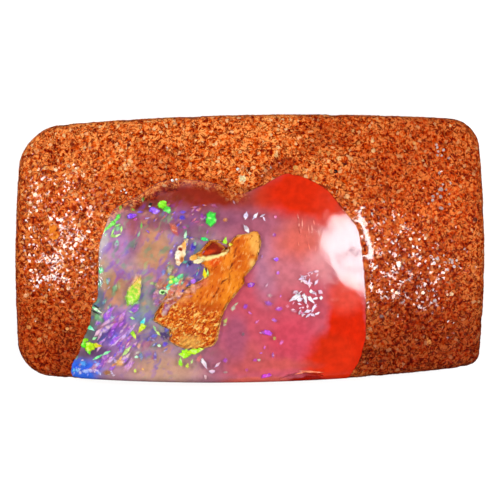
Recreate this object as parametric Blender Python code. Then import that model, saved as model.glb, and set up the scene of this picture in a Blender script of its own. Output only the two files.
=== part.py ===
"""A cut and polished boulder opal: a pocket of precious opal in iron-stained host rock.

Metres, +Z up. The origin is the middle of the flat sawn base, +X runs along the stone's length,
and the opal breaks out of the front side, which faces -Y. The stone is one domed blank. The host
rock is the blank with a pocket cut into it, the opal is what fills the pocket, and two splinters
of host rock are sealed in the opal and polished flush with it.
"""

import math

import bmesh
import bpy
from mathutils import Vector, noise

MM = 0.001

# The blank. LENGTH and WIDTH are its size over the girdle, and the outline below is scaled to them.
LENGTH = 30.0 * MM
WIDTH = 17.2 * MM
THICKNESS = 7.4 * MM
DOME_RADIUS_ALONG = 41.0 * MM  # the polished face curves both ways, more across than along
DOME_RADIUS_ACROSS = 24.0 * MM
BASE_SHARE = 0.965  # the sawn base is this much smaller than the girdle, so the sides lean in
GIRDLE_SOFTNESS = 0.55 * MM  # how far the rounded shoulder runs in from the girdle
BASE_EDGE_SHARE = 0.5  # the base's ground edge, as a share of the girdle's rounding
HAND_CUT = 0.06 * MM  # how far the hand-cut faces wander from a true surface
HAND_CUT_SPAN = 5.0 * MM

# The blank's four corners, anticlockwise from the front left: where the two sides would meet, the
# radius that rounds the corner, and how far the side after it bows outwards. Millimetres.
CORNERS = (
    ((-14.55, -7.88), 1.30, 0.87),
    ((14.62, -7.50), 0.75, 0.45),
    ((14.55, 7.95), 1.05, 0.70),
    ((-14.55, 7.69), 2.20, 0.45),
)
CORNER_STEPS = 6
ROUND_HANDLE = 0.5523  # the share of a corner's radius that makes a Bezier arc nearly round
STEP_ALONG_SIDE = 1.0 * MM
FACE_RINGS = (0.90, 0.78, 0.64, 0.50, 0.36, 0.22, 0.09)
SHOULDER_SEGMENTS = 3

# The pocket's mouth on the polished face, from its front left round the back to its front right,
# in millimetres. Its first and last points lie past the front side, where the pocket runs out.
POCKET_MOUTH = (
    (-13.60, -10.60), (-12.40, -8.20), (-11.00, -6.00), (-10.20, -3.50), (-9.70, -2.70), (-9.55, 0.00),
    (-9.20, 1.40), (-8.60, 2.50), (-6.90, 3.40), (-5.60, 4.20), (-3.90, 4.35),
    (-2.05, 4.05), (-0.60, 3.45), (0.70, 3.90), (2.60, 4.70), (4.90, 3.90),
    (6.15, 2.50), (7.05, 0.80), (7.45, -1.90), (7.55, -4.00), (7.35, -5.70), (6.65, -8.20),
    (5.90, -10.60),
)
POCKET_HEART = (-1.6 * MM, -7.0 * MM)  # the plan point that the pocket narrows to as it deepens
# How wide the pocket still is at each depth below the crown, from above the dome to its floor.
POCKET_WIDTHS = (
    (-1.5 * MM, 1.00), (2.1 * MM, 1.00), (2.7 * MM, 0.96), (3.3 * MM, 0.88),
    (3.8 * MM, 0.76), (4.2 * MM, 0.60), (4.5 * MM, 0.38),
)
POCKET_ROUGHNESS = 1.0 * MM  # at the deepest ring; it fades to nothing at the mouth
POCKET_ROUGH_SPAN = 2.2 * MM
POCKET_STEPS = 3  # steps of the curve between two points of the mouth

GAP = 0.3 * MM  # clearance between the opal and the rock that it touches

# The two splinters of host rock in the opal: outline on the polished face in millimetres, and
# the depth of the underside below the crown.
SHARD_OUTLINE = (
    (0.55, 1.05), (0.80, 0.40), (0.55, -0.70), (0.20, -1.35), (-0.30, -1.85), (-0.25, -2.25),
    (-1.25, -3.50), (-1.75, -4.60), (-2.00, -5.80), (-2.55, -6.35), (-4.10, -6.42), (-5.10, -5.90),
    (-5.10, -5.20), (-6.10, -4.60), (-5.65, -3.60), (-5.10, -2.90), (-4.00, -2.45), (-3.00, -1.95),
    (-2.70, -1.30), (-3.40, -0.95), (-3.80, -0.60), (-3.10, -0.15), (-2.50, 0.50), (-1.80, 0.50),
    (-1.25, 0.30), (-0.90, 0.75), (0.00, 0.98),
)
SHARD_DEPTH = 2.4 * MM
SLIVER_OUTLINE = (
    (-3.85, 0.60), (-4.02, -0.20), (-4.08, -0.75), (-4.45, -1.20), (-4.70, -0.85),
    (-4.62, -0.10), (-4.35, 0.28),
)
SLIVER_DEPTH = 1.3 * MM
SPLINTER_STEPS = 2
SPLINTER_TAPER = 0.80  # a splinter's underside beside its face
SPLINTER_WAIST = 0.45  # the share of a splinter's depth, from its underside up, that tapers
ABOVE_CROWN = 1.5 * MM  # a cutter starts well above the dome

# Losses, each scooped out by an egg shape: its middle and half axes in millimetres, and its turn
# about +Z in degrees.
LIP_HOLLOW = ((-1.95, 0.02, 7.35), (0.66, 0.36, 0.80), 12.0)  # the hollow under the shard's lip
EDGE_CHIP = ((3.60, -8.55, 5.80), (1.60, 0.55, 0.50), 2.0)  # a shell-shaped chip in the front edge
ROCK_LOSSES = (
    ((1.67, 5.06, 6.92), (1.05, 0.17, 0.42), 37.0),  # an open crack behind the pocket
    ((7.62, 0.95, 6.76), (1.55, 0.36, 0.32), -62.0),  # a worn ledge beside the pocket
    ((-9.6, 8.55, 2.7), (2.2, 0.55, 1.3), 3.0),
    ((3.1, 8.95, 1.6), (3.0, 0.50, 1.0), -2.0),
    ((15.25, 1.8, 2.0), (0.60, 2.4, 1.1), 4.0),
    ((-15.2, 2.2, 1.7), (0.60, 2.6, 1.1), -4.0),
    ((10.6, -8.50, 1.6), (2.3, 0.55, 1.0), 3.0),
)
LOSS_ROUGHNESS = 0.16  # how far an egg shape wanders, as a share of its size
LOSS_LUMPS = 2.0  # how many lumps there are across it
LOSS_SUBDIVISIONS = 3
SMOOTH_BELOW = 35.0  # degrees between two faces, under which their edge is shaded smooth

ROCK_COLOUR = (0.47, 0.155, 0.045, 1.0)
OPAL_COLOUR = (0.62, 0.17, 0.16, 1.0)
SHARD_COLOUR = (0.78, 0.26, 0.04, 1.0)
SLIVER_COLOUR = (0.86, 0.55, 0.28, 1.0)


def clear_scene():
    for thing in list(bpy.data.objects):
        bpy.data.objects.remove(thing, do_unlink=True)


def finish(name, colour, roughness):
    """A plain dielectric finish."""
    material = bpy.data.materials.new(name)
    material.use_nodes = True
    shader = material.node_tree.nodes["Principled BSDF"]
    shader.inputs["Base Color"].default_value = colour
    shader.inputs["Roughness"].default_value = roughness
    shader.inputs["Metallic"].default_value = 0.0
    material.diffuse_color = colour
    return material


def place(name, mesh, material=None):
    """A new object for a mesh. One with no material is a cutter, kept out of the model."""
    thing = bpy.data.objects.new(name, mesh)
    bpy.context.scene.collection.objects.link(thing)
    if material is None:
        thing.hide_render = True
        thing.display_type = "WIRE"
    else:
        thing.data.materials.append(material)
    return thing


def side_point(index, share):
    """A point of the outline's side after corner `index`, where share runs from 0 to 1 along it."""
    start = Vector(CORNERS[index][0]) * MM
    end = Vector(CORNERS[(index + 1) % len(CORNERS)][0]) * MM
    outwards = Vector((end.y - start.y, start.x - end.x)).normalized()
    bow = CORNERS[index][2] * MM * 4.0 * share * (1.0 - share)
    return start.lerp(end, share) + outwards * bow


def side_length(index):
    return (side_point(index, 1.0) - side_point(index, 0.0)).length


def corner_curve(index):
    """Points of a rounded corner: a Bezier arc that leaves both bowed sides smoothly."""
    before = index - 1
    radius = CORNERS[index][1] * MM
    leave, join = 1.0 - radius / side_length(before), radius / side_length(index)
    first, last = side_point(before, leave), side_point(index, join)
    nudge = 0.01  # a share of the side, short enough to give its direction at its end
    forward = (side_point(before, leave + nudge) - first).normalized()
    backward = (side_point(index, join - nudge) - last).normalized()
    handle = ROUND_HANDLE * radius
    a, b, c, d = first, first + forward * handle, last + backward * handle, last
    for step in range(CORNER_STEPS + 1):
        t = step / CORNER_STEPS
        s = 1.0 - t
        yield a * s**3 + b * 3 * s * s * t + c * 3 * s * t * t + d * t**3


def blank_outline():
    """The girdle's outline seen from above, anticlockwise, at exactly LENGTH by WIDTH about the origin."""
    points = []
    for index in range(len(CORNERS)):
        points += corner_curve(index)
        after = (index + 1) % len(CORNERS)
        start = CORNERS[index][1] * MM / side_length(index)
        end = 1.0 - CORNERS[after][1] * MM / side_length(index)
        steps = max(2, round((end - start) * side_length(index) / STEP_ALONG_SIDE))
        points += [side_point(index, start + (end - start) * k / steps) for k in range(1, steps)]
    low = Vector((min(p.x for p in points), min(p.y for p in points)))
    high = Vector((max(p.x for p in points), max(p.y for p in points)))
    middle, size = (low + high) / 2, high - low
    return [
        Vector(((p.x - middle.x) * LENGTH / size.x, (p.y - middle.y) * WIDTH / size.y)) for p in points
    ]


def wander(point, size, span):
    """A smooth, repeatable offset of up to about `size` for a surface point."""
    return noise.noise(Vector(point) / span) * size


def dome_height(x, y):
    """Height of the polished face above the base."""
    drop = x * x / (2 * DOME_RADIUS_ALONG) + y * y / (2 * DOME_RADIUS_ACROSS)
    return THICKNESS - drop + wander((x, y, 0.0), HAND_CUT, HAND_CUT_SPAN)


def blank_mesh():
    """The whole stone before the pocket: sawn base, leaning sides and domed face."""
    outline = blank_outline()
    bm = bmesh.new()
    weight = bm.edges.layers.float.new("bevel_weight_edge")

    def ring(share, height_of):
        found = []
        for point in outline:
            x, y = point * share
            found.append(bm.verts.new((x, y, height_of(x, y))))
        return found

    def wall(lower, upper):
        for k in range(len(lower)):
            after = (k + 1) % len(lower)
            bm.faces.new((lower[k], lower[after], upper[after], upper[k]))

    base = ring(BASE_SHARE, lambda x, y: 0.0)
    girdle = ring(1.0, dome_height)
    bm.faces.new(reversed(base))
    wall(base, girdle)
    inner = girdle
    for share in FACE_RINGS:
        outer, inner = inner, ring(share, dome_height)
        wall(outer, inner)
    crown = bm.verts.new((0.0, 0.0, dome_height(0.0, 0.0)))
    for k in range(len(inner)):
        bm.faces.new((inner[k], inner[(k + 1) % len(inner)], crown))
    for loop, share in ((girdle, 1.0), (base, BASE_EDGE_SHARE)):
        for k in range(len(loop)):
            bm.edges.get((loop[k], loop[(k + 1) % len(loop)]))[weight] = share
    mesh = bpy.data.meshes.new("blank")
    bm.to_mesh(mesh)
    bm.free()
    return mesh


def round_edges(thing):
    """Rounds the girdle into a soft shoulder, and breaks the base's edge."""
    bevel = thing.modifiers.new("ground edges", "BEVEL")
    bevel.limit_method = "WEIGHT"
    bevel.width = GIRDLE_SOFTNESS
    bevel.segments = SHOULDER_SEGMENTS


def cut(thing, cutter, operation="DIFFERENCE"):
    boolean = thing.modifiers.new(cutter.name, "BOOLEAN")
    boolean.operation = operation
    boolean.object = cutter
    boolean.solver = "EXACT"


def smooth_loop(points, steps):
    """A closed Catmull-Rom curve through the points, with this many steps between two of them."""
    found = []
    count = len(points)
    for k in range(count):
        a, b, c, d = (Vector(points[(k + n) % count]) for n in (-1, 0, 1, 2))
        for step in range(steps):
            t = step / steps
            found.append(
                (2 * b + (c - a) * t + (2 * a - 5 * b + 4 * c - d) * t * t
                 + (3 * b - a - 3 * c + d) * t**3) / 2
            )
    return found


def offset_loop(points, distance):
    """The loop moved inwards by distance, or outwards where it is negative."""
    turning = sum(
        points[k - 1].x * points[k].y - points[k].x * points[k - 1].y for k in range(len(points))
    )
    sign = math.copysign(1.0, turning)
    moved = []
    for k, point in enumerate(points):
        along = (points[(k + 1) % len(points)] - points[k - 1]).normalized()
        moved.append(point + Vector((-along.y, along.x)) * distance * sign)
    return moved


def loft(name, rings):
    """A closed mesh through rings of points, from the top one down."""
    bm = bmesh.new()
    loops = [[bm.verts.new(p) for p in ring] for ring in rings]
    for upper, lower in zip(loops, loops[1:]):
        for k in range(len(upper)):
            after = (k + 1) % len(upper)
            bm.faces.new((upper[k], lower[k], lower[after], upper[after]))
    bm.faces.new(loops[0])
    bm.faces.new(reversed(loops[-1]))
    bmesh.ops.recalc_face_normals(bm, faces=bm.faces)
    mesh = bpy.data.meshes.new(name)
    bm.to_mesh(mesh)
    bm.free()
    return mesh


def pocket_cutter(name, inset):
    """The pocket's own shape, or with an inset that of the opal which fills it."""
    loop = offset_loop(smooth_loop([Vector(p) * MM for p in POCKET_MOUTH], POCKET_STEPS), inset)
    heart = Vector(POCKET_HEART)
    rings = []
    for depth, share in POCKET_WIDTHS:
        ring = []
        for point in loop:
            x = heart.x + (point.x - heart.x) * share
            y = point.y
            if y > heart.y:  # the pocket narrows from behind, and stays open in front
                y = heart.y + (y - heart.y) * share
            x += wander((point.x, point.y, -depth), POCKET_ROUGHNESS * (1.0 - share), POCKET_ROUGH_SPAN)
            ring.append((x, y, THICKNESS - depth + inset))
        rings.append(ring)
    return place(name, loft(name, rings))


def splinter_cutter(name, outline, depth, grow):
    """A splinter's own shape, or with some growth the room that the opal leaves it."""
    loop = offset_loop(smooth_loop([Vector(p) * MM for p in outline], SPLINTER_STEPS), -grow)
    middle = sum(loop, Vector((0.0, 0.0))) / len(loop)
    underside = THICKNESS - depth
    levels = (
        (THICKNESS + ABOVE_CROWN, 1.0),
        (underside + SPLINTER_WAIST * depth, 1.0),
        (underside - grow, SPLINTER_TAPER),
    )
    rings = []
    for height, share in levels:
        ring = [middle + (p - middle) * share for p in loop]
        rings.append([(p.x, p.y, height) for p in ring])
    return place(name, loft(name, rings))


def scoop(name, middle, half_axes, turn):
    """An egg-shaped cutter for a chip or a hollow."""
    bm = bmesh.new()
    bmesh.ops.create_icosphere(bm, subdivisions=LOSS_SUBDIVISIONS, radius=1.0)
    for vert in bm.verts:
        vert.co *= 1.0 + LOSS_ROUGHNESS * noise.noise(vert.co * LOSS_LUMPS + Vector(middle))
        vert.co = Vector(a * b * MM for a, b in zip(vert.co, half_axes))
    mesh = bpy.data.meshes.new(name)
    bm.to_mesh(mesh)
    bm.free()
    thing = place(name, mesh)
    thing.location = Vector(middle) * MM
    thing.rotation_euler.z = math.radians(turn)
    return thing


def stone_piece(name, blank, material):
    """A copy of the blank with its edges ground, ready to be cut down to one piece of the stone."""
    thing = place(name, blank.copy(), material)
    round_edges(thing)
    return thing


def settle(thing):
    """Applies the modifiers, and shades the stone smooth between its cut edges."""
    evaluated = thing.evaluated_get(bpy.context.evaluated_depsgraph_get())
    mesh = bpy.data.meshes.new_from_object(evaluated)
    thing.modifiers.clear()
    thing.data = mesh
    mesh.name = thing.name
    mesh.shade_smooth()
    mesh.set_sharp_from_angle(angle=math.radians(SMOOTH_BELOW))


def main():
    clear_scene()
    blank = blank_mesh()
    pocket = pocket_cutter("cut_pocket", 0.0)
    filling = pocket_cutter("cut_filling", GAP)
    shard_shape = splinter_cutter("cut_shard", SHARD_OUTLINE, SHARD_DEPTH, 0.0)
    shard_room = splinter_cutter("cut_shard_room", SHARD_OUTLINE, SHARD_DEPTH, GAP)
    sliver_shape = splinter_cutter("cut_sliver", SLIVER_OUTLINE, SLIVER_DEPTH, 0.0)
    sliver_room = splinter_cutter("cut_sliver_room", SLIVER_OUTLINE, SLIVER_DEPTH, GAP)

    host_rock = stone_piece("host_rock", blank, finish("host_rock", ROCK_COLOUR, 0.45))
    cut(host_rock, pocket)
    for number, loss in enumerate(ROCK_LOSSES):
        cut(host_rock, scoop(f"cut_loss_{number}", *loss))

    opal = stone_piece("opal", blank, finish("opal", OPAL_COLOUR, 0.08))
    cut(opal, filling, "INTERSECT")
    cut(opal, shard_room)
    cut(opal, sliver_room)
    cut(opal, scoop("cut_edge_chip", *EDGE_CHIP))

    shard = stone_piece("rock_shard", blank, finish("rock_shard", SHARD_COLOUR, 0.5))
    cut(shard, shard_shape, "INTERSECT")
    cut(shard, scoop("cut_lip_hollow", *LIP_HOLLOW))

    sliver = stone_piece("rock_sliver", blank, finish("rock_sliver", SLIVER_COLOUR, 0.5))
    cut(sliver, sliver_shape, "INTERSECT")

    for piece in (host_rock, opal, shard, sliver):
        settle(piece)


main()
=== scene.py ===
# %% [markdown]
# # A boulder opal
#
# A boulder opal is cut so that a pocket of precious opal stays in the iron-stained rock it grew in.
# This stone is a block with a domed, polished face. The opal breaks out of the front side, and two
# splinters of rock are caught in it. The frame gives the plain solids: host rock, opal, shard and
# sliver. Each is replaced here by a finer piece that has the same place and size.
#
# The numbers are in millimetres, as a stone cutter would give them, and MM turns them to metres.

# %% Load the frame
import math
import random

import bpy
import numpy as np
from mathutils import Matrix, Vector, noise


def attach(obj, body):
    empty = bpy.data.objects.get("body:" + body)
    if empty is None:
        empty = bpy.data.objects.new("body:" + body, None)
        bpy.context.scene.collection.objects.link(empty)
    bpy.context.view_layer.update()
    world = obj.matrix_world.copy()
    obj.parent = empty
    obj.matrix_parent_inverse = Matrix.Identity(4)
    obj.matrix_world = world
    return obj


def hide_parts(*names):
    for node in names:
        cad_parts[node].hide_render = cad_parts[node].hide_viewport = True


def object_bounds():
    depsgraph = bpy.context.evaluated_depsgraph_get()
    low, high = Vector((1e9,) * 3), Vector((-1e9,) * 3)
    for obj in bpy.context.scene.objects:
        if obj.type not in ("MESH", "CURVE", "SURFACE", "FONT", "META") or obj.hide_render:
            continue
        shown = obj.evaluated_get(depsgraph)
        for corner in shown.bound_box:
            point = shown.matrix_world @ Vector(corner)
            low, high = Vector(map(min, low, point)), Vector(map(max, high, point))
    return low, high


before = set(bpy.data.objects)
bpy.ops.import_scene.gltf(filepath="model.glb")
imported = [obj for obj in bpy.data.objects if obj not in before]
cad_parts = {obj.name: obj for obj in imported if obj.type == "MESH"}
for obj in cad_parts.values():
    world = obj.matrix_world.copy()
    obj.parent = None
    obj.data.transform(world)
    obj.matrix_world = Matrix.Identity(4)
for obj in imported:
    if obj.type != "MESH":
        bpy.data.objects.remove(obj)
cad_low, cad_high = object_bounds()
MM = 0.001
print("stone of", [round(s / MM, 2) for s in cad_high - cad_low], "mm")

# %% [markdown]
# ## The outline
#
# The girdle is the widest line round the stone, seen from above. It is four sides that bow outwards
# a little and four rounded corners, each of its own radius, as a cutter leaves them who saves as much
# of the opal as possible. A corner is a Bezier arc that leaves both sides smoothly. It lies a quarter
# of a millimetre outside the plain solid at most. The whole outline is kept as four runs, each from
# the middle of one corner to the middle of the next, because a square sheet will be stretched over it
# side by side. A bevelled box would be quicker, but all its corners would be alike.

# %% The girdle's outline
# A corner: where its two sides would meet, its radius, and how far the side after it bows outwards.
CORNERS = (
    ((-14.88, -8.15), 2.01, 0.73),
    ((14.87, -7.60), 0.81, 0.38),
    ((14.76, 8.34), 1.72, 0.48),
    ((-14.73, 7.79), 2.63, 0.27),
)
ROUND_HANDLE = 0.5523  # the share of a corner's radius that makes a Bezier arc nearly round
SIDE_STEPS, ARC_STEPS = 60, 24
PROBE = 0.01  # the share of a side over which its direction at a corner is measured


def side_point(side, share):
    """Points of a bowed side at the given shares of its length."""
    start, end = np.array(CORNERS[side][0]), np.array(CORNERS[(side + 1) % 4][0])
    along = end - start
    outwards = np.array((along[1], -along[0])) / np.linalg.norm(along)
    bow = CORNERS[side][2] * 4.0 * share * (1.0 - share)
    return start + np.multiply.outer(share, along) + np.multiply.outer(bow, outwards)


def corner_share(corner, side):
    """How much of a side the rounding of one of its corners takes."""
    return CORNERS[corner][1] / np.linalg.norm(side_point(side, 1.0) - side_point(side, 0.0))


def corner_arc(corner):
    """Points of the Bezier arc that rounds a corner."""
    before, radius = (corner - 1) % 4, CORNERS[corner][1]
    leave, join = 1.0 - corner_share(corner, before), corner_share(corner, corner)
    first, last = side_point(before, leave), side_point(corner, join)
    forward = side_point(before, leave + PROBE) - first
    backward = side_point(corner, join - PROBE) - last
    handle = ROUND_HANDLE * radius
    second = first + handle * forward / np.linalg.norm(forward)
    third = last + handle * backward / np.linalg.norm(backward)
    t = np.linspace(0.0, 1.0, ARC_STEPS + 1)[:, None]
    s = 1.0 - t
    return first * s**3 + second * 3 * s * s * t + third * 3 * s * t * t + last * t**3


def outline_runs():
    """Four open lines from corner to corner, which together go once round the stone."""
    arcs = [corner_arc(corner) for corner in range(4)]
    half = ARC_STEPS // 2
    runs = []
    for side in range(4):
        after = (side + 1) % 4
        share = np.linspace(corner_share(side, side), 1.0 - corner_share(after, side), SIDE_STEPS)
        straight = side_point(side, share)[1:-1]
        runs.append(np.vstack([arcs[side][half:], straight, arcs[after][: half + 1]]))
    return runs


RUNS = outline_runs()
OUTLINE = np.vstack([run[:-1] for run in RUNS])
print("outline of", len(OUTLINE), "points")

# %% [markdown]
# ## Measuring on a plan
#
# Everything on this stone is placed by plan, as seen from above: the pocket, its contents and the
# sand's flaws. Three measures are enough for that: where a share of a line's length lies, how far a
# point lies inside a closed line, and how far it lies from an open one.

# %% Helpers for lines
def along_run(run, share):
    """Points of an open line at the given shares of its length."""
    steps = np.linalg.norm(np.diff(run, axis=0), axis=1)
    reached = np.concatenate([[0.0], np.cumsum(steps)]) / steps.sum()
    return np.stack([np.interp(share, reached, run[:, axis]) for axis in (0, 1)], axis=1)


def from_loop(points, loop):
    """Distance of plan points from a closed line, counted positive inside it."""
    ends = np.roll(loop, -1, axis=0)
    nearest = np.full(len(points), np.inf)
    inside = np.zeros(len(points), bool)
    for (ax, ay), (bx, by) in zip(loop, ends):
        ex, ey = bx - ax, by - ay
        px, py = points[:, 0] - ax, points[:, 1] - ay
        t = np.clip((px * ex + py * ey) / (ex * ex + ey * ey), 0.0, 1.0)
        nearest = np.minimum(nearest, (px - t * ex) ** 2 + (py - t * ey) ** 2)
        crosses = (ay > points[:, 1]) != (by > points[:, 1])
        if ay != by:
            inside ^= crosses & (points[:, 0] < ax + (points[:, 1] - ay) * ex / ey)
    return np.where(inside, 1.0, -1.0) * np.sqrt(nearest)


def inside_at(x, y, loop):
    """How far one plan point lies inside a closed line."""
    return from_loop(np.array([[x, y]]), loop)[0]


def from_line(points, line):
    """Distance of plan points from an open line."""
    nearest = np.full(len(points), np.inf)
    for (ax, ay), (bx, by) in zip(line, line[1:]):
        ex, ey = bx - ax, by - ay
        px, py = points[:, 0] - ax, points[:, 1] - ay
        t = np.clip((px * ex + py * ey) / (ex * ex + ey * ey), 0.0, 1.0)
        nearest = np.minimum(nearest, np.hypot(px - t * ex, py - t * ey))
    return nearest


print("the middle lies", round(inside_at(0.0, 0.0, OUTLINE), 2), "mm inside the girdle")

# %% [markdown]
# ## Reading and moving points
#
# A mesh's points are read into an array of millimetres, moved there, and written back. This is how a
# sculpting brush works too, only with the brush stroke given as a formula. A number or a colour can
# also be kept for each point, and a finish reads it later.

# %% Helpers for points
def points_of(piece):
    flat = np.empty(len(piece.data.vertices) * 3, np.float32)
    piece.data.vertices.foreach_get("co", flat)
    return flat.reshape(-1, 3).astype(float) / MM


def unit_points(piece):
    """Points of a primitive that was added with a radius of 1 and has yet to get its size."""
    return points_of(piece) * MM


def set_points(piece, points):
    piece.data.vertices.foreach_set("co", (points * MM).astype(np.float32).ravel())
    piece.data.update()


def normals_of(piece):
    flat = np.empty(len(piece.data.vertices) * 3, np.float32)
    piece.data.vertices.foreach_get("normal", flat)
    return flat.reshape(-1, 3).astype(float)


def set_attribute(piece, name, values):
    """Keeps one number for each point, which a finish can read."""
    made = piece.data.attributes.new(name, "FLOAT", "POINT")
    made.data.foreach_set("value", np.asarray(values, np.float32))


def set_colours(piece, name, colours):
    """Keeps one colour with its cover for each point, which a finish can read."""
    made = piece.data.attributes.new(name, "FLOAT_COLOR", "POINT")
    made.data.foreach_set("color", np.asarray(colours, np.float32).ravel())


print("points of the rock's plain solid:", len(points_of(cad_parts["host_rock"])))

# %% [markdown]
# ## Selecting and changing
#
# Operators act on all that is selected, so each one is led up to by a helper that selects just what
# it should change. A modifier is applied at once, so that the next step starts from its result.

# %% Helpers for operators
def alone(piece):
    bpy.ops.object.select_all(action="DESELECT")
    piece.select_set(True)
    bpy.context.view_layer.objects.active = piece


def edit(piece, mode="VERT"):
    """Opens a piece in edit mode with nothing selected."""
    alone(piece)
    bpy.ops.object.mode_set(mode="EDIT")
    bpy.ops.mesh.select_mode(type=mode)
    bpy.ops.mesh.select_all(action="DESELECT")


def edit_all(piece, mode="VERT"):
    """Opens a piece in edit mode with everything selected."""
    edit(piece, mode)
    bpy.ops.mesh.select_all(action="SELECT")


def close_edit():
    bpy.ops.object.mode_set(mode="OBJECT")


def close_outwards():
    """Turns all faces outwards and leaves edit mode."""
    bpy.ops.mesh.select_all(action="SELECT")
    bpy.ops.mesh.normals_make_consistent(inside=False)
    close_edit()


def twin(piece, name):
    """A copy with a mesh of its own."""
    copy = bpy.data.objects.new(name, piece.data.copy())
    bpy.context.scene.collection.objects.link(copy)
    return copy


def apply_boolean(piece, tool, operation):
    boolean = piece.modifiers.new("cut", "BOOLEAN")
    boolean.operation, boolean.object, boolean.solver = operation, tool, "EXACT"
    alone(piece)
    bpy.ops.object.modifier_apply(modifier=boolean.name)


def smooth_faces(piece, degrees):
    """Shades smoothly, but keeps an edge sharp where two faces meet at more than the angle."""
    alone(piece)
    bpy.ops.object.shade_smooth_by_angle(angle=math.radians(degrees))


def discard(*pieces):
    for piece in pieces:
        bpy.data.objects.remove(piece, do_unlink=True)


# %% [markdown]
# ## Noise and easing
#
# Two formulas make nearly every natural shape here. Smooth noise wanders up and down from place to
# place, and an ease turns a distance into a share that starts and ends without a corner.

# %% Noise and ease
def ragged(points, span, seed=0.0):
    """Smooth noise from about -1 to 1 for each point, with features of about `span` millimetres."""
    where = np.asarray(points) / span + seed
    if where.shape[1] == 2:
        where = np.column_stack([where, np.full(len(where), seed)])
    return np.array([noise.noise(Vector(p)) for p in where])


def ease(value, start, end):
    """0 before start, 1 after end, and a smooth rise between."""
    t = np.clip((np.asarray(value) - start) / (end - start), 0.0, 1.0)
    return t * t * (3.0 - 2.0 * t)


print("noise at three places:", ragged(np.eye(3), 0.7).round(2))

# %% [markdown]
# ## The domed face
#
# The face was ground to a dome, long and gentle along the stone and rounder across it. It was held
# by hand against the wheel, so it has slight waves. Near the girdle it turns down in a small round,
# the shoulder, which keeps the edge from chipping. A formula for its height serves every later step.

# %% The height of the face
THICKNESS = (cad_high.z - cad_low.z) / MM
DOME_ALONG, DOME_ACROSS = 41.0, 24.0  # the polished face's radii
SHOULDER = 0.55
HAND_CUT, HAND_CUT_SPAN = 0.06, 5.0


def dome(points):
    """Height of the polished face, with the slight waves of cutting by hand."""
    x, y = points[:, 0], points[:, 1]
    drop = x * x / (2 * DOME_ALONG) + y * y / (2 * DOME_ACROSS)
    flat = np.column_stack([x, y, np.zeros(len(x))])
    return THICKNESS - drop + HAND_CUT * ragged(flat, HAND_CUT_SPAN)


def shoulder_drop(inside):
    """How much the rounded shoulder lies below the dome, by the distance inside the girdle."""
    near = SHOULDER - np.clip(inside, 0.0, SHOULDER)
    return SHOULDER - np.sqrt(np.maximum(SHOULDER**2 - near**2, 0.0))


print("height in the middle and at both ends:", dome(np.array([(0, 0), (-14, 0), (14, 0)])).round(2), "mm")

# %% [markdown]
# ## The blank
#
# The blank is the whole stone before the opal is told apart from the rock. A square sheet of cells
# is stretched over the outline: every square ring of the sheet becomes one ring of the stone, so the
# cells stay even and the outermost ring is the girdle itself. The sheet then takes the height of the
# face. The sides are extruded from its border down to a flat base, which is closed and bevelled, and
# cut into short cells that can be weathered. A lathe or a cube with a subdivision modifier would be
# quicker, but would not follow an outline with four different corners.

# %% Stretch a square over the outline
def stretched(square):
    """Where the points of a square from -1 to 1 come to lie on the stone's plan."""
    ring = np.abs(square).max(axis=1)
    u, v = (square / np.maximum(ring, 1e-9)[:, None]).T
    found = np.zeros_like(square)
    sides = (
        (v <= -np.abs(u), (u + 1) / 2),
        (u >= np.abs(v), (v + 1) / 2),
        (v >= np.abs(u), (1 - u) / 2),
        (u <= -np.abs(v), (1 - v) / 2),
    )
    for run, (mine, share) in zip(RUNS, sides):
        found[mine] = along_run(run, share[mine])
    return found * ring[:, None]


print("a corner of the sheet comes to lie at", stretched(np.array([[1.0, 1.0]])).round(2)[0], "mm")

# %% Build the blank
BASE_SHARE = 0.965  # the base is this much smaller than the girdle
BASE_BEVEL, BEVEL_STEPS = 0.25, 3
TALL = 1.5  # only the sides have edges that rise this far


def make_blank(name, cell, wall_cuts):
    """The whole stone, from cells of the given size."""
    size = OUTLINE.max(axis=0) - OUTLINE.min(axis=0)
    across = [round(s / cell / 2) * 2 for s in size]
    bpy.ops.object.select_all(action="DESELECT")
    bpy.ops.mesh.primitive_grid_add(x_subdivisions=across[0], y_subdivisions=across[1], size=2)
    blank = bpy.context.object
    blank.name = name
    plan = stretched(unit_points(blank)[:, :2])
    inside = from_loop(plan, OUTLINE)
    set_points(blank, np.column_stack([plan, dome(plan) - shoulder_drop(inside)]))
    edit(blank, "EDGE")
    bpy.ops.mesh.select_non_manifold()
    bpy.ops.mesh.extrude_region_move(TRANSFORM_OT_translate={"value": (0, 0, -THICKNESS * MM)})
    close_edit()
    points = points_of(blank)
    border = np.array([v.select for v in blank.data.vertices])
    points[border] *= (BASE_SHARE, BASE_SHARE, 0.0)
    set_points(blank, points)
    bpy.ops.object.mode_set(mode="EDIT")
    bpy.ops.mesh.edge_face_add()
    bpy.ops.mesh.bevel(offset=BASE_BEVEL * MM, segments=BEVEL_STEPS)
    close_outwards()
    cut_walls(blank, wall_cuts)
    return blank


def cut_walls(blank, cuts):
    """Cuts the tall cells of the sides into a stack of short ones."""
    edit(blank, "EDGE")
    close_edit()
    points = points_of(blank)
    for edge in blank.data.edges:
        a, b = (points[v] for v in edge.vertices)
        edge.select = bool(abs(a[2] - b[2]) > TALL)
    bpy.ops.object.mode_set(mode="EDIT")
    bpy.ops.mesh.subdivide(number_cuts=cuts)
    close_edit()


blank = make_blank("blank", cell=0.1, wall_cuts=22)
print("blank:", len(blank.data.polygons), "faces")

# %% [markdown]
# ## The pocket
#
# In the rock the opal fills a pocket that opens in the face and runs out through the front. Its
# mouth is a smooth curve through a few points. A disc takes the mouth's shape and is extruded down
# step by step. Each step scales it about a point in front of the stone, so the pocket narrows from
# the sides and from behind, but stays open in front. A little noise makes the rim as ragged as sand.

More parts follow.
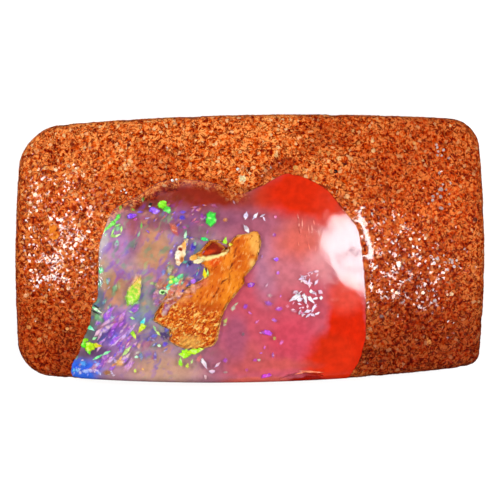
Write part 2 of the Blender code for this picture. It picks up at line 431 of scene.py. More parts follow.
# %% Model the pocket's tool
MOUTH = (
    (-14.30, -10.60), (-12.95, -8.40), (-12.15, -7.60), (-11.00, -6.45), (-10.22, -4.90),
    (-9.98, -3.70), (-9.66, -2.95), (-9.52, 0.00), (-9.18, 1.30), (-8.50, 2.50), (-6.90, 3.40),
    (-5.60, 4.20), (-3.90, 4.35), (-2.05, 4.05), (-0.60, 3.45), (0.70, 3.90), (2.60, 4.70),
    (4.80, 3.80), (6.05, 2.30), (6.90, 1.10), (7.15, -0.40), (7.36, -2.40), (7.46, -4.40),
    (7.40, -5.80), (7.05, -7.20), (6.40, -8.40), (5.50, -10.60),
)
NARROWS_TO = (-1.6, -10.6)  # a plan point in front of the stone
ABOVE = 1.5  # the tool stands this far out of the face
# The tool's steps: how deep they lie under the face, and their share of the mouth's size.
DEPTHS = (-ABOVE, 0.6, 1.4, 2.1, 2.7, 3.3, 3.8, 4.2, 4.5)
SHARES = (1.0, 1.0, 1.0, 1.0, 0.96, 0.88, 0.76, 0.60, 0.38)


def smooth_loop(points, steps):
    """A closed Catmull-Rom curve through the points."""
    b = np.array(points, float)
    a, c, d = np.roll(b, 1, axis=0), np.roll(b, -1, axis=0), np.roll(b, -2, axis=0)
    rows = []
    for t in np.arange(steps) / steps:
        rows.append((2 * b + (c - a) * t + (2 * a - 5 * b + 4 * c - d) * t**2
                     + (3 * b - a - 3 * c + d) * t**3) / 2)
    return np.stack(rows, axis=1).reshape(-1, 2)


RIM = smooth_loop(MOUTH, 16)
for span, reach in ((0.7, 0.06), (0.25, 0.035)):
    RIM = RIM + reach * np.column_stack([ragged(RIM, span, 3.0), ragged(RIM, span, 7.0)])


def disc(name, loop, height):
    """A flat face with the given outline."""
    bpy.ops.object.select_all(action="DESELECT")
    bpy.ops.mesh.primitive_circle_add(vertices=len(loop), fill_type="NGON")
    made = bpy.context.object
    made.name = name
    set_points(made, np.column_stack([loop, np.full(len(loop), height)]))
    return made


def push_down(piece, steps, centre):
    """Extrudes a disc down by each step's distance and scales it about a plan point by its share."""
    edit_all(piece, "FACE")
    for down, share in steps:
        bpy.ops.mesh.extrude_region_move(TRANSFORM_OT_translate={"value": (0, 0, -down * MM)})
        bpy.ops.transform.resize(value=(share, share, 1), center_override=(*centre * MM, 0))
    close_outwards()


pocket = disc("pocket", RIM, THICKNESS + ABOVE)
downs, shares = np.diff(DEPTHS), np.array(SHARES[1:]) / np.array(SHARES[:-1])
push_down(pocket, zip(downs, shares), np.array(NARROWS_TO))
print("pocket tool:", len(pocket.data.polygons), "faces")


def into_pocket(points):
    """Roughly how far points of the stone lie inside the pocket's wall and floor."""
    depth = THICKNESS - points[:, 2]
    share = np.interp(depth, DEPTHS, SHARES)[:, None]
    plan = np.array(NARROWS_TO) + (points[:, :2] - NARROWS_TO) / share
    return np.minimum(share[:, 0] * from_loop(plan, RIM), DEPTHS[-1] - depth)


# %% [markdown]
# ## Host rock
#
# The rock is the blank with the pocket cut out. Real rock of this kind is fine sand held together by
# iron oxide. Polishing leaves the grains level and plucks some out, so the face is flat with pits.
# The pits, an open crack behind the pocket and a worn ledge beside it are pressed into the mesh, and
# how deep each point was pressed is kept as the attribute "pit", from which the finish later paints shade
# into the hollows.
# The ledge is worn smooth: the attribute "polish" says where, and gives it a wet shine. The sides
# were sawn and never polished. Bump alone would be cheaper, but would leave the outline too clean.

# %% How the rock is weathered
GRAIN = 0.24
SEAM_WIDTH = 0.35  # as a share of a grain
SEAM_DEPTH, PLUCK_DEPTH, CRACK_DEPTH, LEDGE_DEPTH = 0.012, 0.05, 0.06, 0.02
SAW_DEPTH, DENT_DEPTH, SIDE_SEAM_DEPTH = 0.03, 0.05, 0.02
CRACK = ((0.85, 4.40), (1.25, 4.85), (1.75, 5.10), (2.45, 5.70))
LEDGE = (
    (7.20, 2.45), (7.02, 2.00), (7.26, 1.54), (7.46, 0.90), (7.62, 0.40), (7.76, -0.13), (7.72, -0.60),
)
LEDGE_SPURS = (
    ((6.55, 1.85), (7.10, 1.60)), ((7.22, -0.50), (7.70, -0.55)), ((7.80, -0.10), (8.05, -0.25)),
)


def grain_seams(points, size):
    """0 on a grain and up to 1 in the seams between grains, from a cell pattern."""
    found = np.empty(len(points))
    for k, p in enumerate(points / size):
        near, far = noise.voronoi(Vector(p))[0][:2]
        found[k] = 1.0 - min((far - near) / SEAM_WIDTH, 1.0)
    return found


def weather_face(where):
    """How deep points of the face are pressed in, and how far they belong to the worn ledge."""
    plan = where[:, :2]
    plucked = ease(ragged(where, 0.5, 2.0), 0.15, 0.55)
    press = SEAM_DEPTH * grain_seams(where, GRAIN)
    press += PLUCK_DEPTH * plucked * ease(ragged(where, 0.2, 5.0), -0.1, 0.3)
    press += CRACK_DEPTH * (1.0 - ease(from_line(plan, CRACK) + 0.10 * ragged(where, 0.3), 0.0, 0.13))
    away = from_line(plan, LEDGE)
    for spur in LEDGE_SPURS:
        away = np.minimum(away, 0.10 + from_line(plan, spur))
    worn = 1.0 - ease(away + 0.10 * ragged(where, 0.35) + 0.06 * ragged(where, 0.15), 0.12, 0.18)
    return press * (1.0 - worn) + LEDGE_DEPTH * worn, worn


def weather_side(where):
    """How deep points of the sides are pressed in by dents, saw marks and seams."""
    saw = SAW_DEPTH * ragged(where * (0.25, 0.25, 1.0), 0.35, 9.0)
    dents = DENT_DEPTH * ease(ragged(where, 1.2, 4.0), 0.2, 0.6)
    return dents + np.abs(saw) + SIDE_SEAM_DEPTH * grain_seams(where, GRAIN)


print("the middle of the ledge is pressed in", weather_face(np.array([(7.46, 0.90, 6.0)]))[0].round(3), "mm")

# %% Cut and weather the host rock
PAINTED_SHADE_DEPTH = 0.12  # a hollow this deep gets the darkest painted shade
WALL = 0.02  # points nearer to the pocket's wall than this belong to the wall


def weather_rock(rock):
    points, normals = points_of(rock), normals_of(rock)
    outside = into_pocket(points) < WALL
    face = (normals[:, 2] > 0.5) & outside
    side = (np.abs(normals[:, 2]) <= 0.5) & outside
    pit, polish = np.zeros(len(points)), np.zeros(len(points))
    pit[face], polish[face] = weather_face(points[face])
    pit[side] = weather_side(points[side])
    set_points(rock, points - normals * pit[:, None])
    # The kept share is painted shade: the deeper a point was pressed, the darker its colour is painted.
    set_attribute(rock, "pit", np.clip(pit / PAINTED_SHADE_DEPTH, 0.0, 1.0))
    set_attribute(rock, "polish", polish)


host_rock = twin(blank, "host_rock_stone")
apply_boolean(host_rock, pocket, "DIFFERENCE")
weather_rock(host_rock)
smooth_faces(host_rock, 50)
print("host rock:", len(host_rock.data.polygons), "faces")

# %% [markdown]
# ## Opal
#
# Precious opal is a clear jelly with cloudy depths, and its fire comes from layers at different
# depths. It is built that way: a clear body with the polished face, a cloudy heart a little below
# the face, and thin flakes of fire between the two. The clear body is the blank where it meets the
# pocket, made a hair larger than the pocket so that no gap shows. A chip is broken out of the front.
# One body with a painted surface would be simpler, but its colours would not lie under the polish.

# %% Cut the clear opal
CHIP_PLACE, CHIP_SIZE = (3.60, -8.55, 5.80), (1.60, 0.55, 0.50)


def chip_tool(grow):
    """A ragged oval lump in the shape of the chip."""
    bpy.ops.object.select_all(action="DESELECT")
    bpy.ops.mesh.primitive_ico_sphere_add(subdivisions=5, radius=1)
    chip = bpy.context.object
    points = unit_points(chip)
    points *= 1.0 + 0.10 * ragged(points, 0.4)[:, None] + 0.03 * ragged(points, 0.12)[:, None]
    set_points(chip, points * (np.array(CHIP_SIZE) + grow) + CHIP_PLACE)
    return chip


def break_chip(piece, grow):
    """Breaks the chip out of a piece, grown all round by some millimetres."""
    chip = chip_tool(grow)
    apply_boolean(piece, chip, "DIFFERENCE")
    discard(chip)


opal_blank = make_blank("opal_blank", cell=0.125, wall_cuts=14)
filling = twin(pocket, "filling")
edit_all(filling)
bpy.ops.transform.shrink_fatten(value=0.02 * MM)
close_edit()
opal = twin(opal_blank, "opal_clear")
apply_boolean(opal, filling, "INTERSECT")
heart = twin(opal, "opal_heart")
break_chip(opal, 0.0)
smooth_faces(opal, 40)
print("clear opal:", len(opal.data.polygons), "faces")

# %% [markdown]
# ## The cloudy heart
#
# The heart is a copy of the clear body, taken before the chip was broken out, and sunk by a depth
# that varies like a cloud. Its own chip is a little larger, so that clear opal covers it there too.
# Under the two splinters it is sunk further, which makes the seats that they lie in. Two attributes
# are kept in it: "rim" where sand shows through the opal's thin edge, and "inner" for how far a point
# lies in.

# %% Sink the cloudy heart
SHARD_LINE = (
    (0.55, 1.05), (0.80, 0.40), (0.55, -0.70), (0.20, -1.35), (-0.30, -1.85), (-0.25, -2.25),
    (-1.25, -3.50), (-1.75, -4.60), (-2.00, -5.80), (-2.55, -6.35), (-4.10, -6.42), (-5.10, -5.90),
    (-5.10, -5.20), (-6.10, -4.60), (-5.65, -3.60), (-5.10, -2.90), (-4.00, -2.45), (-3.00, -1.95),
    (-2.70, -1.30), (-3.40, -0.95), (-3.80, -0.60), (-3.10, -0.15), (-2.50, 0.50), (-1.80, 0.50),
    (-1.25, 0.30), (-0.90, 0.75), (0.00, 0.98),
)
SLIVER_LINE = (
    (-3.85, 0.60), (-4.02, -0.20), (-4.08, -0.75), (-4.45, -1.20), (-4.70, -0.85),
    (-4.62, -0.10), (-4.35, 0.28),
)
SHARD_LOOP, SLIVER_LOOP = smooth_loop(SHARD_LINE, 3), smooth_loop(SLIVER_LINE, 3)
CLOUD_DEPTH, LEAST_DEPTH, SEAT_DEPTH = 0.30, 0.05, 0.8
THIN_EDGE = (
    (-10.0, 1.2), (-9.0, 1.7), (-8.1, 2.3), (-6.3, 2.85), (-5.1, 3.5), (-4.1, 4.3), (-3.0, 5.5),
)


def cloud_depth(plan):
    """How deep the cloudy heart lies below the polished face, beyond its least depth."""
    depth = CLOUD_DEPTH * ease(from_loop(plan, RIM), 0.0, 1.1) * (1.0 + 0.5 * ragged(plan, 1.6, 1.0))
    return depth * ease(from_loop(plan, OUTLINE), 0.0, 0.9)


def seat_depth(plan):
    """How much deeper the heart is sunk to seat the shard and the sliver."""
    loops = (SHARD_LOOP, SLIVER_LOOP)
    return sum(SEAT_DEPTH * ease(from_loop(plan, loop), 0.26, 0.42) for loop in loops)


def sink_heart(heart):
    """Sinks the heart below the clear body and keeps the two attributes of its edge."""
    points, normals = points_of(heart), normals_of(heart)
    plan = points[:, :2]
    upwards = normals[:, 2] > 0.4
    deeper = np.where(upwards, cloud_depth(plan) + seat_depth(plan), 0.0)
    sink = LEAST_DEPTH + ease(into_pocket(points), 0.0, 0.8) * deeper
    set_points(heart, points - normals * sink[:, None])
    inside = from_loop(plan, RIM)
    fringe = 1.0 - ease(inside + 0.25 * ragged(points, 0.5), 0.05, 0.75)
    fringe *= ease(-points[:, 0], -0.5, 1.5) * ease(points[:, 1], 0.5, 2.5)
    beyond = points[:, 1] - np.interp(points[:, 0], *np.transpose(THIN_EDGE))
    thin = ease(beyond + 0.5 * ragged(points, 0.7), -0.1, 0.25)
    set_attribute(heart, "rim", np.maximum(0.8 * fringe, 0.9 * thin) * upwards)
    set_attribute(heart, "inner", ease(inside + 0.15 * ragged(points, 0.4), 0.05, 0.7))


break_chip(heart, 0.03)
sink_heart(heart)
smooth_faces(heart, 40)
print("cloudy heart:", len(heart.data.polygons), "faces")

# %% [markdown]
# ## The shard
#
# The shard is a split piece of bright orange rock: smooth plates at its right, a grainy lower end, a
# crack, and a cream-rimmed lip over a hollow. The frame's solid gives its outline and thickness. A
# copy of it is merged, remeshed finely, and then its face is pressed in plate by plate. It lies in
# its seat under clear opal, so its face stays a little below the polish. Splitting a block with a
# boolean for every plate would give cleaner edges than a natural break has.

# %% Split the shard's face
def fine_copy(node, name, voxel):
    """A finely remeshed copy of a solid of the frame."""
    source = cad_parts[node]
    copy = twin(source, name)
    edit_all(copy)
    bpy.ops.mesh.remove_doubles(threshold=0.001 * MM)
    close_edit()
    remesh = copy.modifiers.new("fine", "REMESH")
    remesh.mode, remesh.voxel_size = "VOXEL", voxel * MM
    alone(copy)
    bpy.ops.object.modifier_apply(modifier=remesh.name)
    return copy


SHARD_CRACK = (
    (-0.83, -0.06), (-1.09, -1.09), (-1.28, -1.47), (-1.22, -1.86), (-1.67, -2.12),
    (-1.92, -2.56), (-2.18, -3.01), (-2.44, -3.53),
)
LIP_HOLLOW = (
    (-3.01, -0.51), (-2.69, 0.06), (-2.18, 0.38), (-1.47, 0.06), (-1.73, -0.32), (-2.18, -0.51),
)
LIP_DEPTH = 0.34
UNDER_FACE = 0.04  # the shard stays at least this far below the polish
LIP_RIM = ((-3.80, -0.62), (-3.20, -0.72), (-2.56, -0.60), (-2.00, -0.45), (-1.50, -0.20))


def split_face(points):
    """How deep the shard's face is pressed in by its plates, strands and crack.

    The grainy share and the crack are handed back too.
    """
    plan, height = points[:, :2], points[:, 2]
    grainy = ease(-plan[:, 1] + 0.5 * ragged(plan, 0.8) - 0.25 * plan[:, 0], 4.3, 4.9)
    strands = np.column_stack([0.4 * plan @ (0.78, 0.62), plan @ (-0.62, 0.78), height])
    strand = ease(ragged(strands, 0.16, 2.0), -0.4, 0.4)
    drawn = np.column_stack([plan @ (0.91, -0.42), 0.3 * plan @ (0.42, 0.91), height])
    plates = 0.06 * (1.0 + ragged(drawn, 0.7, 6.0)) + 0.03 * np.abs(ragged(drawn, 0.25, 1.0))
    from_crack = from_line(plan, SHARD_CRACK)
    left = ease(from_crack * np.sign(-1.2 - plan[:, 0]), 0.0, 0.25)
    press = 0.04 + grainy * (0.05 + 0.12 * (1.0 - strand)) + (1.0 - grainy) * (plates + 0.10 * left)
    crack = 1.0 - ease(from_crack + 0.06 * ragged(plan, 0.2), 0.0, 0.07)
    crack *= ease(ragged(plan, 0.5, 12.0), -0.45, -0.10)
    bevel = 1.0 - ease(from_loop(plan, SHARD_LOOP), 0.0, 0.22)
    return press + (0.06 * crack + 0.13 * bevel), grainy, crack


shard = fine_copy("rock_shard", "shard_stone", 0.06)
print("the shard's fine copy:", len(shard.data.polygons), "faces")

# %% Carve the shard
def carve_shard(shard):
    points, normals = points_of(shard), normals_of(shard)
    plan = points[:, :2]
    face = ease(normals[:, 2], 0.2, 0.7)
    press, grainy, crack = split_face(points)
    hollow = ease(from_loop(plan, smooth_loop(LIP_HOLLOW, 4)) + 0.06 * ragged(plan, 0.2), -0.04, 0.12)
    chipped = 0.06 + 0.10 * ragged(points, 0.45, 8.0) + 0.06 * ragged(points, 0.16, 3.0)
    moved = points - normals * (chipped * (1.0 - face))[:, None]
    moved[:, 2] -= press * face
    floor = dome(moved) - LIP_DEPTH - 0.04 * ragged(plan, 0.2)
    upper = points[:, 2] > dome(points) - 1.0
    moved[:, 2] += np.clip(2.0 * hollow, 0.0, 1.0) * upper * (floor - moved[:, 2])
    moved[:, 2] = np.minimum(moved[:, 2], dome(moved) - UNDER_FACE)
    set_points(shard, moved)
    # The crack's share is kept as "pit", and the finish paints it dark as shade in the crack.
    set_attribute(shard, "pit", np.clip(crack * face, 0.0, 1.0))
    set_attribute(shard, "hollow", hollow * upper)
    set_attribute(shard, "grainy", grainy)
    # The pale band along the shard's outline is a painted highlight on its rim.
    edge = 1.0 - ease(from_loop(plan, SHARD_LOOP) + 0.10 * ragged(plan, 0.25), 0.06, 0.16)
    set_attribute(shard, "edge", 0.8 * edge * ease(ragged(plan, 0.6, 4.0), -0.3, 0.2))
    rim = 1.0 - ease(from_line(plan, LIP_RIM) + 0.16 * ragged(plan, 0.22), 0.12, 0.24)
    set_attribute(shard, "cream", rim * face * ease(ragged(plan, 0.35, 7.0), -0.5, -0.1))


carve_shard(shard)
alone(shard)
bpy.ops.object.shade_smooth()
print("size of the shard:", np.ptp(points_of(shard), axis=0).round(2), "mm")

# %% [markdown]
# ## The sliver
#
# The sliver is a small chip of paler rock that lies beside the shard, in a seat of its own. It starts
# from a fine copy too. Noise of two sizes chips it all round, and its face stays below the polish.

# %% Carve the sliver
def carve_sliver(sliver):
    points, normals = points_of(sliver), normals_of(sliver)
    chipped = 0.07 + 0.13 * ragged(points, 0.32) + 0.06 * ragged(points, 0.12)
    points -= normals * chipped[:, None]
    height = points[:, 2] - 0.06 * np.abs(ragged(points, 0.15))
    points[:, 2] = np.minimum(height, dome(points) - 0.05)
    set_points(sliver, points)


sliver = fine_copy("rock_sliver", "sliver_stone", 0.05)
carve_sliver(sliver)
alone(sliver)
bpy.ops.object.shade_smooth()
print("sliver:", len(sliver.data.polygons), "faces")

# %% [markdown]
# ## Flakes of fire
#
# The fire of an opal sits in thin flakes, each of which throws one band of colour. White and lilac
# flakes, laid where tiny open fractures catch the light, are painted glints. One flake is modelled: a
# round plate with two inset rings, so that its rim can fade. It is then copied, drawn out to a blob,
# drop, streak or chip, laid parallel to the polished face at its depth, and given its colours. The rim
# of a soft flake is clear, like colour seen deep in the jelly. A painted heart would be easier, but the
# flakes would not slide over it as the stone is turned.

# %% Model one flake
RING_SHARES = (1.0, 0.74, 0.42)


def make_flake():
    """A round plate of radius 1 with two rings inset in its face."""
    bpy.ops.object.select_all(action="DESELECT")
    bpy.ops.mesh.primitive_cylinder_add(vertices=28, radius=1.0, depth=1.0, end_fill_type="NGON")
    plate = bpy.context.object
    edit(plate, "FACE")
    close_edit()
    for face in plate.data.polygons:
        face.select = face.normal.z > 0.5
    bpy.ops.object.mode_set(mode="EDIT")
    for outer, inner in zip(RING_SHARES, RING_SHARES[1:]):
        bpy.ops.mesh.inset(thickness=outer - inner)
    close_edit()
    return plate


template = make_flake()
print("one flake:", len(template.data.polygons), "faces")

# %% [markdown]
# ## The large flakes
#
# The large flakes give the opal its own pattern, so each is laid one by one, from a list. A helper bends
# the plate's rim, draws it out, and lowers it from the face by its depth. Each lies a hair higher
# than the one before it, so that no two that cross share a plane.

# %% List the large flakes
# Kind, place, length, width, turn in degrees, colour at its start and at its end, 1 if soft.
FLAKES_AND_PAINTED_GLINTS = (
    ("blob", -5.49, 2.78, 0.64, 0.51, 20, 0x8CFF20, 0xA0FF30, 0),
    ("blob", -5.19, 2.46, 0.58, 0.45, -50, 0x60E840, 0x70F070, 0),
    ("chip", -6.24, 2.78, 0.32, 0.19, 30, 0x101010, 0x302020, 0),
    ("chip", -6.31, 2.66, 0.19, 0.13, 0, 0xF0F0E8, 0xF0F0E8, 0),
    ("blob", -6.04, 2.38, 0.72, 0.40, -20, 0x9050F8, 0xB070FF, 0),
    ("blob", -7.45, 2.04, 0.64, 0.34, 5, 0x8A40F8, 0xC060FF, 0),
    ("blob", -7.22, 1.81, 0.32, 0.19, 20, 0xD050B0, 0xE060C0, 1),
    ("blob", -2.42, 1.83, 1.03, 0.64, 88, 0x50F050, 0x48E848, 0),
    ("drop", -8.40, 1.86, 0.62, 0.30, 235, 0x60F050, 0x60F040, 0),
    ("drop", -8.81, 1.44, 0.80, 0.30, 218, 0x70E040, 0x80F060, 0),
    ("streak", -8.65, 1.60, 1.50, 0.24, 45, 0x98FF70, 0x78E850, 0),
    ("streak", -8.65, 1.06, 0.66, 0.14, 66, 0xC8F890, 0x90E070, 0),
    ("streak", -8.11, 1.22, 0.52, 0.16, 85, 0xD0F888, 0xA0E070, 0),
    ("streak", -8.40, 0.77, 0.62, 0.16, 25, 0xB8E880, 0xC8F890, 0),
    ("streak", -8.35, 1.45, 0.50, 0.14, 20, 0x90E070, 0xB0F080, 0),
    ("streak", -7.24, 0.06, 0.80, 0.18, 68, 0x80607A, 0x706078, 1),
    ("blob", -8.33, 1.25, 0.51, 0.38, 40, 0x90E0A0, 0x70D060, 1),
    ("blob", -8.65, 0.78, 0.38, 0.26, 10, 0xB0F070, 0xA0D060, 1),
    ("drop", -9.17, 1.15, 0.51, 0.19, 60, 0xD0FFB0, 0x80F060, 0),
    ("streak", -8.17, 2.58, 0.51, 0.26, 80, 0xA8C830, 0x70A030, 1),
    ("streak", -7.35, 2.42, 0.38, 0.19, -30, 0xA0C040, 0x90B040, 1),
    ("streak", -6.73, 3.10, 0.45, 0.26, 80, 0x609020, 0x407010, 1),
    ("streak", -6.83, 1.44, 0.58, 0.19, 85, 0x70E050, 0x60B050, 1),
    ("streak", -6.99, 0.88, 0.58, 0.19, 70, 0x80D0A0, 0x60A080, 1),
    ("blob", -4.21, 1.92, 0.51, 0.38, 0, 0x4040E0, 0x4838C0, 1),
    ("blob", -2.97, 1.96, 0.32, 0.51, 0, 0xB040B0, 0xA04090, 1),
    ("blob", -2.81, 0.56, 0.51, 0.26, -10, 0x40F070, 0x30D080, 0),
    ("drop", -1.50, 0.49, 0.51, 0.32, 80, 0xB0F020, 0xA0E010, 0),
    ("drop", -1.15, 0.22, 0.32, 0.26, 0, 0xF0E020, 0xE0C020, 0),
    ("drop", -4.02, 0.85, 0.51, 0.26, 75, 0xD8FFE0, 0xA0F0B0, 0),
    ("blob", -1.50, 1.79, 0.38, 0.32, 0, 0xD88030, 0xC07030, 1),
    ("blob", -3.53, 0.03, 0.64, 0.45, 60, 0x4030D0, 0x2820A0, 1),
    ("blob", -3.76, -0.96, 0.45, 0.38, 30, 0x201060, 0x302070, 1),
    ("drop", -2.81, -1.57, 0.64, 0.32, 95, 0xF8E010, 0xF0F020, 0),
    ("streak", -2.61, -1.57, 0.51, 0.13, 95, 0x90F060, 0xA0F080, 0),
    ("blob", -9.42, -1.41, 0.45, 0.32, 80, 0x60E088, 0x50C880, 0),
    ("streak", -9.51, -2.26, 0.64, 0.32, 85, 0x50C080, 0x409080, 1),
    ("drop", -7.22, -2.68, 2.20, 1.10, 70, 0xA8F040, 0xF0C858, 0),
    ("blob", -7.18, -2.20, 1.30, 0.60, 68, 0xF8B070, 0xF8A868, 1),
    ("streak", -7.00, -2.50, 0.90, 0.40, 76, 0xF0F040, 0xF8E848, 1),
    ("blob", -7.66, -3.10, 0.56, 0.44, 50, 0x60D850, 0x88F050, 1),
    ("blob", -7.36, -3.40, 0.94, 0.50, 5, 0xD8FF98, 0xB8FF98, 1),
    ("blob", -7.25, -3.02, 0.34, 0.24, 0, 0xF0FF88, 0xF0FF88, 1),
    ("blob", -7.62, -2.98, 0.26, 0.20, 0, 0x308838, 0x308838, 1),
    ("blob", -4.74, -2.05, 0.71, 0.38, 20, 0x60F060, 0x80F070, 0),
    ("blob", -4.36, -1.79, 0.45, 0.26, 30, 0x60E0A8, 0x60D090, 0),
    ("blob", -5.04, -2.40, 0.51, 0.32, 40, 0x60F0C0, 0x50D0B0, 0),
    ("streak", -4.65, -2.49, 0.64, 0.19, 5, 0x903010, 0xA03810, 0),
    ("blob", -4.94, -1.22, 0.51, 0.45, 0, 0xA8A070, 0x989868, 1),
    ("blob", -4.90, -1.88, 0.38, 0.28, 20, 0xE0F060, 0xB0E050, 0),
    ("streak", -4.42, -2.04, 0.66, 0.22, 30, 0xA0FFB0, 0x80F0A0, 0),
    ("blob", -4.55, -2.30, 0.38, 0.26, 0, 0x90F8C0, 0xB8FFD0, 0),
    ("blob", -4.96, -2.16, 0.34, 0.26, 50, 0xB8F060, 0xD8F040, 0),
    ("blob", -4.25, -2.25, 0.36, 0.26, 20, 0x58C8A0, 0x70D8B8, 1),
    ("blob", -5.16, -2.60, 0.44, 0.22, 55, 0xB0FFD8, 0x80F0C8, 0),
    ("streak", -4.74, -2.40, 0.74, 0.18, 12, 0xE89838, 0xD07828, 0),
    ("blob", -5.05, -1.38, 0.60, 0.42, 70, 0xB0A878, 0xA0A070, 1),
    ("blob", -4.74, 1.15, 1.10, 0.55, -60, 0xE87048, 0xD86040, 1),
    ("blob", -3.53, -2.12, 0.38, 0.32, 20, 0xD080FF, 0xC070F0, 0),
    ("blob", -3.96, -2.26, 0.58, 0.38, 40, 0x5050F0, 0x4848D0, 1),
    ("blob", -4.30, -2.72, 0.45, 0.38, 0, 0x4040D8, 0x3838B0, 1),
    ("blob", -5.42, -1.54, 0.51, 0.32, 85, 0x8090E0, 0x7080C0, 1),
    ("streak", -5.26, -2.71, 0.58, 0.19, -60, 0xF0FFD8, 0xC0E8A0, 0),
    ("blob", -5.50, -2.80, 0.45, 0.38, 0, 0xD0FFB0, 0xB0F090, 0),
    ("blob", -5.49, -2.81, 0.26, 0.19, 0, 0x286020, 0x306828, 0),
    ("blob", -6.17, -2.24, 0.38, 0.26, 0, 0xC0D080, 0xA0C070, 1),
    ("blob", -5.85, -2.34, 0.51, 0.32, -20, 0x80A860, 0x709858, 1),
    ("streak", -9.73, -3.94, 0.96, 0.19, -31, 0x90F0A0, 0xF0FFE8, 0),
    ("streak", -9.69, -3.76, 0.83, 0.10, -31, 0x102018, 0x182820, 0),
    ("streak", -9.81, -4.10, 0.77, 0.10, -31, 0x182820, 0x102018, 0),
    ("blob", -9.60, -4.45, 0.95, 0.62, -35, 0x80C080, 0x60A070, 1),
    ("drop", -10.10, -5.14, 0.58, 0.32, -32, 0x60F0A8, 0x90F8D0, 0),
    ("streak", -9.87, -5.78, 0.45, 0.19, 28, 0xB0F0B0, 0x90D8A0, 0),
    ("blob", -10.23, -6.30, 0.77, 0.64, -20, 0xB0F010, 0xC8F018, 0),
    ("drop", -9.67, -6.24, 0.71, 0.38, -5, 0xD8E818, 0xE0A828, 0),
    ("blob", -10.62, -6.19, 0.51, 0.38, 70, 0x60F020, 0x70E010, 0),
    ("blob", -10.49, -5.90, 0.45, 0.26, 15, 0xA0F020, 0x80D020, 0),
    ("drop", -10.26, -6.64, 0.45, 0.38, -70, 0x90F010, 0x60E010, 0),
    ("streak", -9.68, -6.99, 0.83, 0.19, 28, 0x60E880, 0x90F8B0, 0),
    ("streak", -9.10, -6.71, 0.71, 0.21, 27, 0xB0FFC8, 0x80F0A0, 0),
    ("streak", -11.09, -6.99, 0.58, 0.26, 65, 0x98D868, 0x80B858, 1),
    ("blob", -10.64, -7.40, 0.51, 0.45, 0, 0x58B0FF, 0x50A0F8, 1),
    ("blob", -11.31, -7.85, 0.38, 0.32, 0, 0x68D8E8, 0x60C0F0, 1),
    ("blob", -10.49, -7.92, 0.58, 0.32, -10, 0xC0D0FF, 0x90B0FF, 1),
    ("blob", -9.71, -8.00, 0.51, 0.32, 0, 0x6888FF, 0x5878F0, 1),
    ("blob", -11.03, -7.63, 0.51, 0.38, 20, 0x2058F0, 0x2868F0, 1),
    ("blob", -9.05, -7.98, 0.64, 0.45, 0, 0xB87840, 0xA07048, 1),
    ("blob", -8.27, -7.33, 0.70, 0.60, 20, 0xF8C068, 0xF0A850, 1),
    ("blob", -8.65, -7.47, 0.45, 0.26, 30, 0xE89050, 0xD08048, 1),
    ("streak", -7.82, -6.59, 0.95, 0.28, 48, 0xC8E890, 0xD0E898, 0),
    ("streak", -8.21, -7.05, 0.58, 0.19, 60, 0xF0C860, 0xF8B060, 1),
    ("drop", -6.73, -4.65, 0.58, 0.32, 62, 0x50F0F8, 0x60E8E8, 0),
    ("drop", -6.86, -5.13, 0.77, 0.45, 235, 0xC8F020, 0xE0E030, 0),
    ("drop", -7.32, -5.58, 0.58, 0.32, -62, 0xA8E838, 0xD8F850, 0),
    ("streak", -7.42, -4.47, 0.38, 0.19, -20, 0xB8F8A0, 0xA0E890, 0),
    ("streak", -7.49, -4.09, 0.45, 0.16, -25, 0xC0E8B0, 0xA0C8A0, 1),
    ("streak", -5.99, -5.13, 0.51, 0.17, -68, 0xA8E8A0, 0xC8F090, 0),
    ("streak", -5.78, -5.42, 0.45, 0.18, -50, 0xD8F890, 0xC8E880, 0),
    ("blob", -5.72, -6.22, 0.26, 0.19, 0, 0xD0FFD0, 0xC0F0C0, 0),
    ("blob", -5.32, -6.11, 0.45, 0.38, 20, 0x6848E8, 0x6040C0, 1),
    ("blob", -5.38, -5.54, 0.83, 0.58, -30, 0x483878, 0x403060, 1),
    ("blob", -4.07, -6.76, 0.77, 0.58, 15, 0xB0FF20, 0xB8F830, 0),
    ("streak", -3.49, -6.58, 1.03, 0.45, 10, 0xC8F820, 0xB8F028, 0),
    ("drop", -3.08, -6.46, 0.51, 0.32, 12, 0xC0F030, 0xD8F840, 0),
    ("drop", -4.37, -7.26, 0.64, 0.32, 92, 0xA8F838, 0x88E828, 0),
    ("drop", -3.92, -7.47, 0.38, 0.26, 80, 0xD8F058, 0xC8D848, 0),
    ("drop", -3.63, -7.22, 0.32, 0.19, 70, 0xC8E890, 0xB8D880, 0),
    ("blob", -3.18, -7.03, 0.64, 0.38, 60, 0xF08888, 0xE87078, 1),
    # Painted glints: the next four white and lilac flakes mark where small fractures catch the light.
    ("drop", -2.82, -7.42, 0.83, 0.32, -62, 0xF8F0F8, 0xE0C0D8, 0),
    ("blob", -2.35, -7.86, 0.38, 0.26, 0, 0xF0D0E8, 0xE8C0E0, 0),
    ("streak", -1.99, -7.42, 0.58, 0.19, 45, 0xF0D0F0, 0xD890B8, 0),
    ("blob", -2.78, -8.23, 0.32, 0.19, -70, 0xE8C0C8, 0xD8A0A8, 0),
    ("blob", -1.51, -7.92, 0.32, 0.19, 10, 0xB09090, 0xA08080, 1),
    ("blob", -7.29, -7.84, 0.26, 0.19, 90, 0xE0F068, 0xD0E060, 0),
    ("blob", -6.79, -7.74, 0.19, 0.15, 0, 0xE8A850, 0xE8A850, 0),
    ("blob", -7.03, -6.25, 0.45, 0.26, 70, 0xF0B090, 0xE8A088, 1),
    ("blob", -7.12, -6.67, 0.38, 0.19, 30, 0xD8D0C0, 0xC8C0B0, 1),
    ("blob", -7.19, -6.96, 0.26, 0.19, 0, 0xC8FFE0, 0xB8F0D0, 0),
    ("streak", -8.86, -7.04, 0.32, 0.19, 40, 0xF0A0E8, 0xF8C0F0, 0),
    ("streak", -7.88, -4.97, 0.64, 0.19, 50, 0xD0A0B0, 0xC890A0, 1),
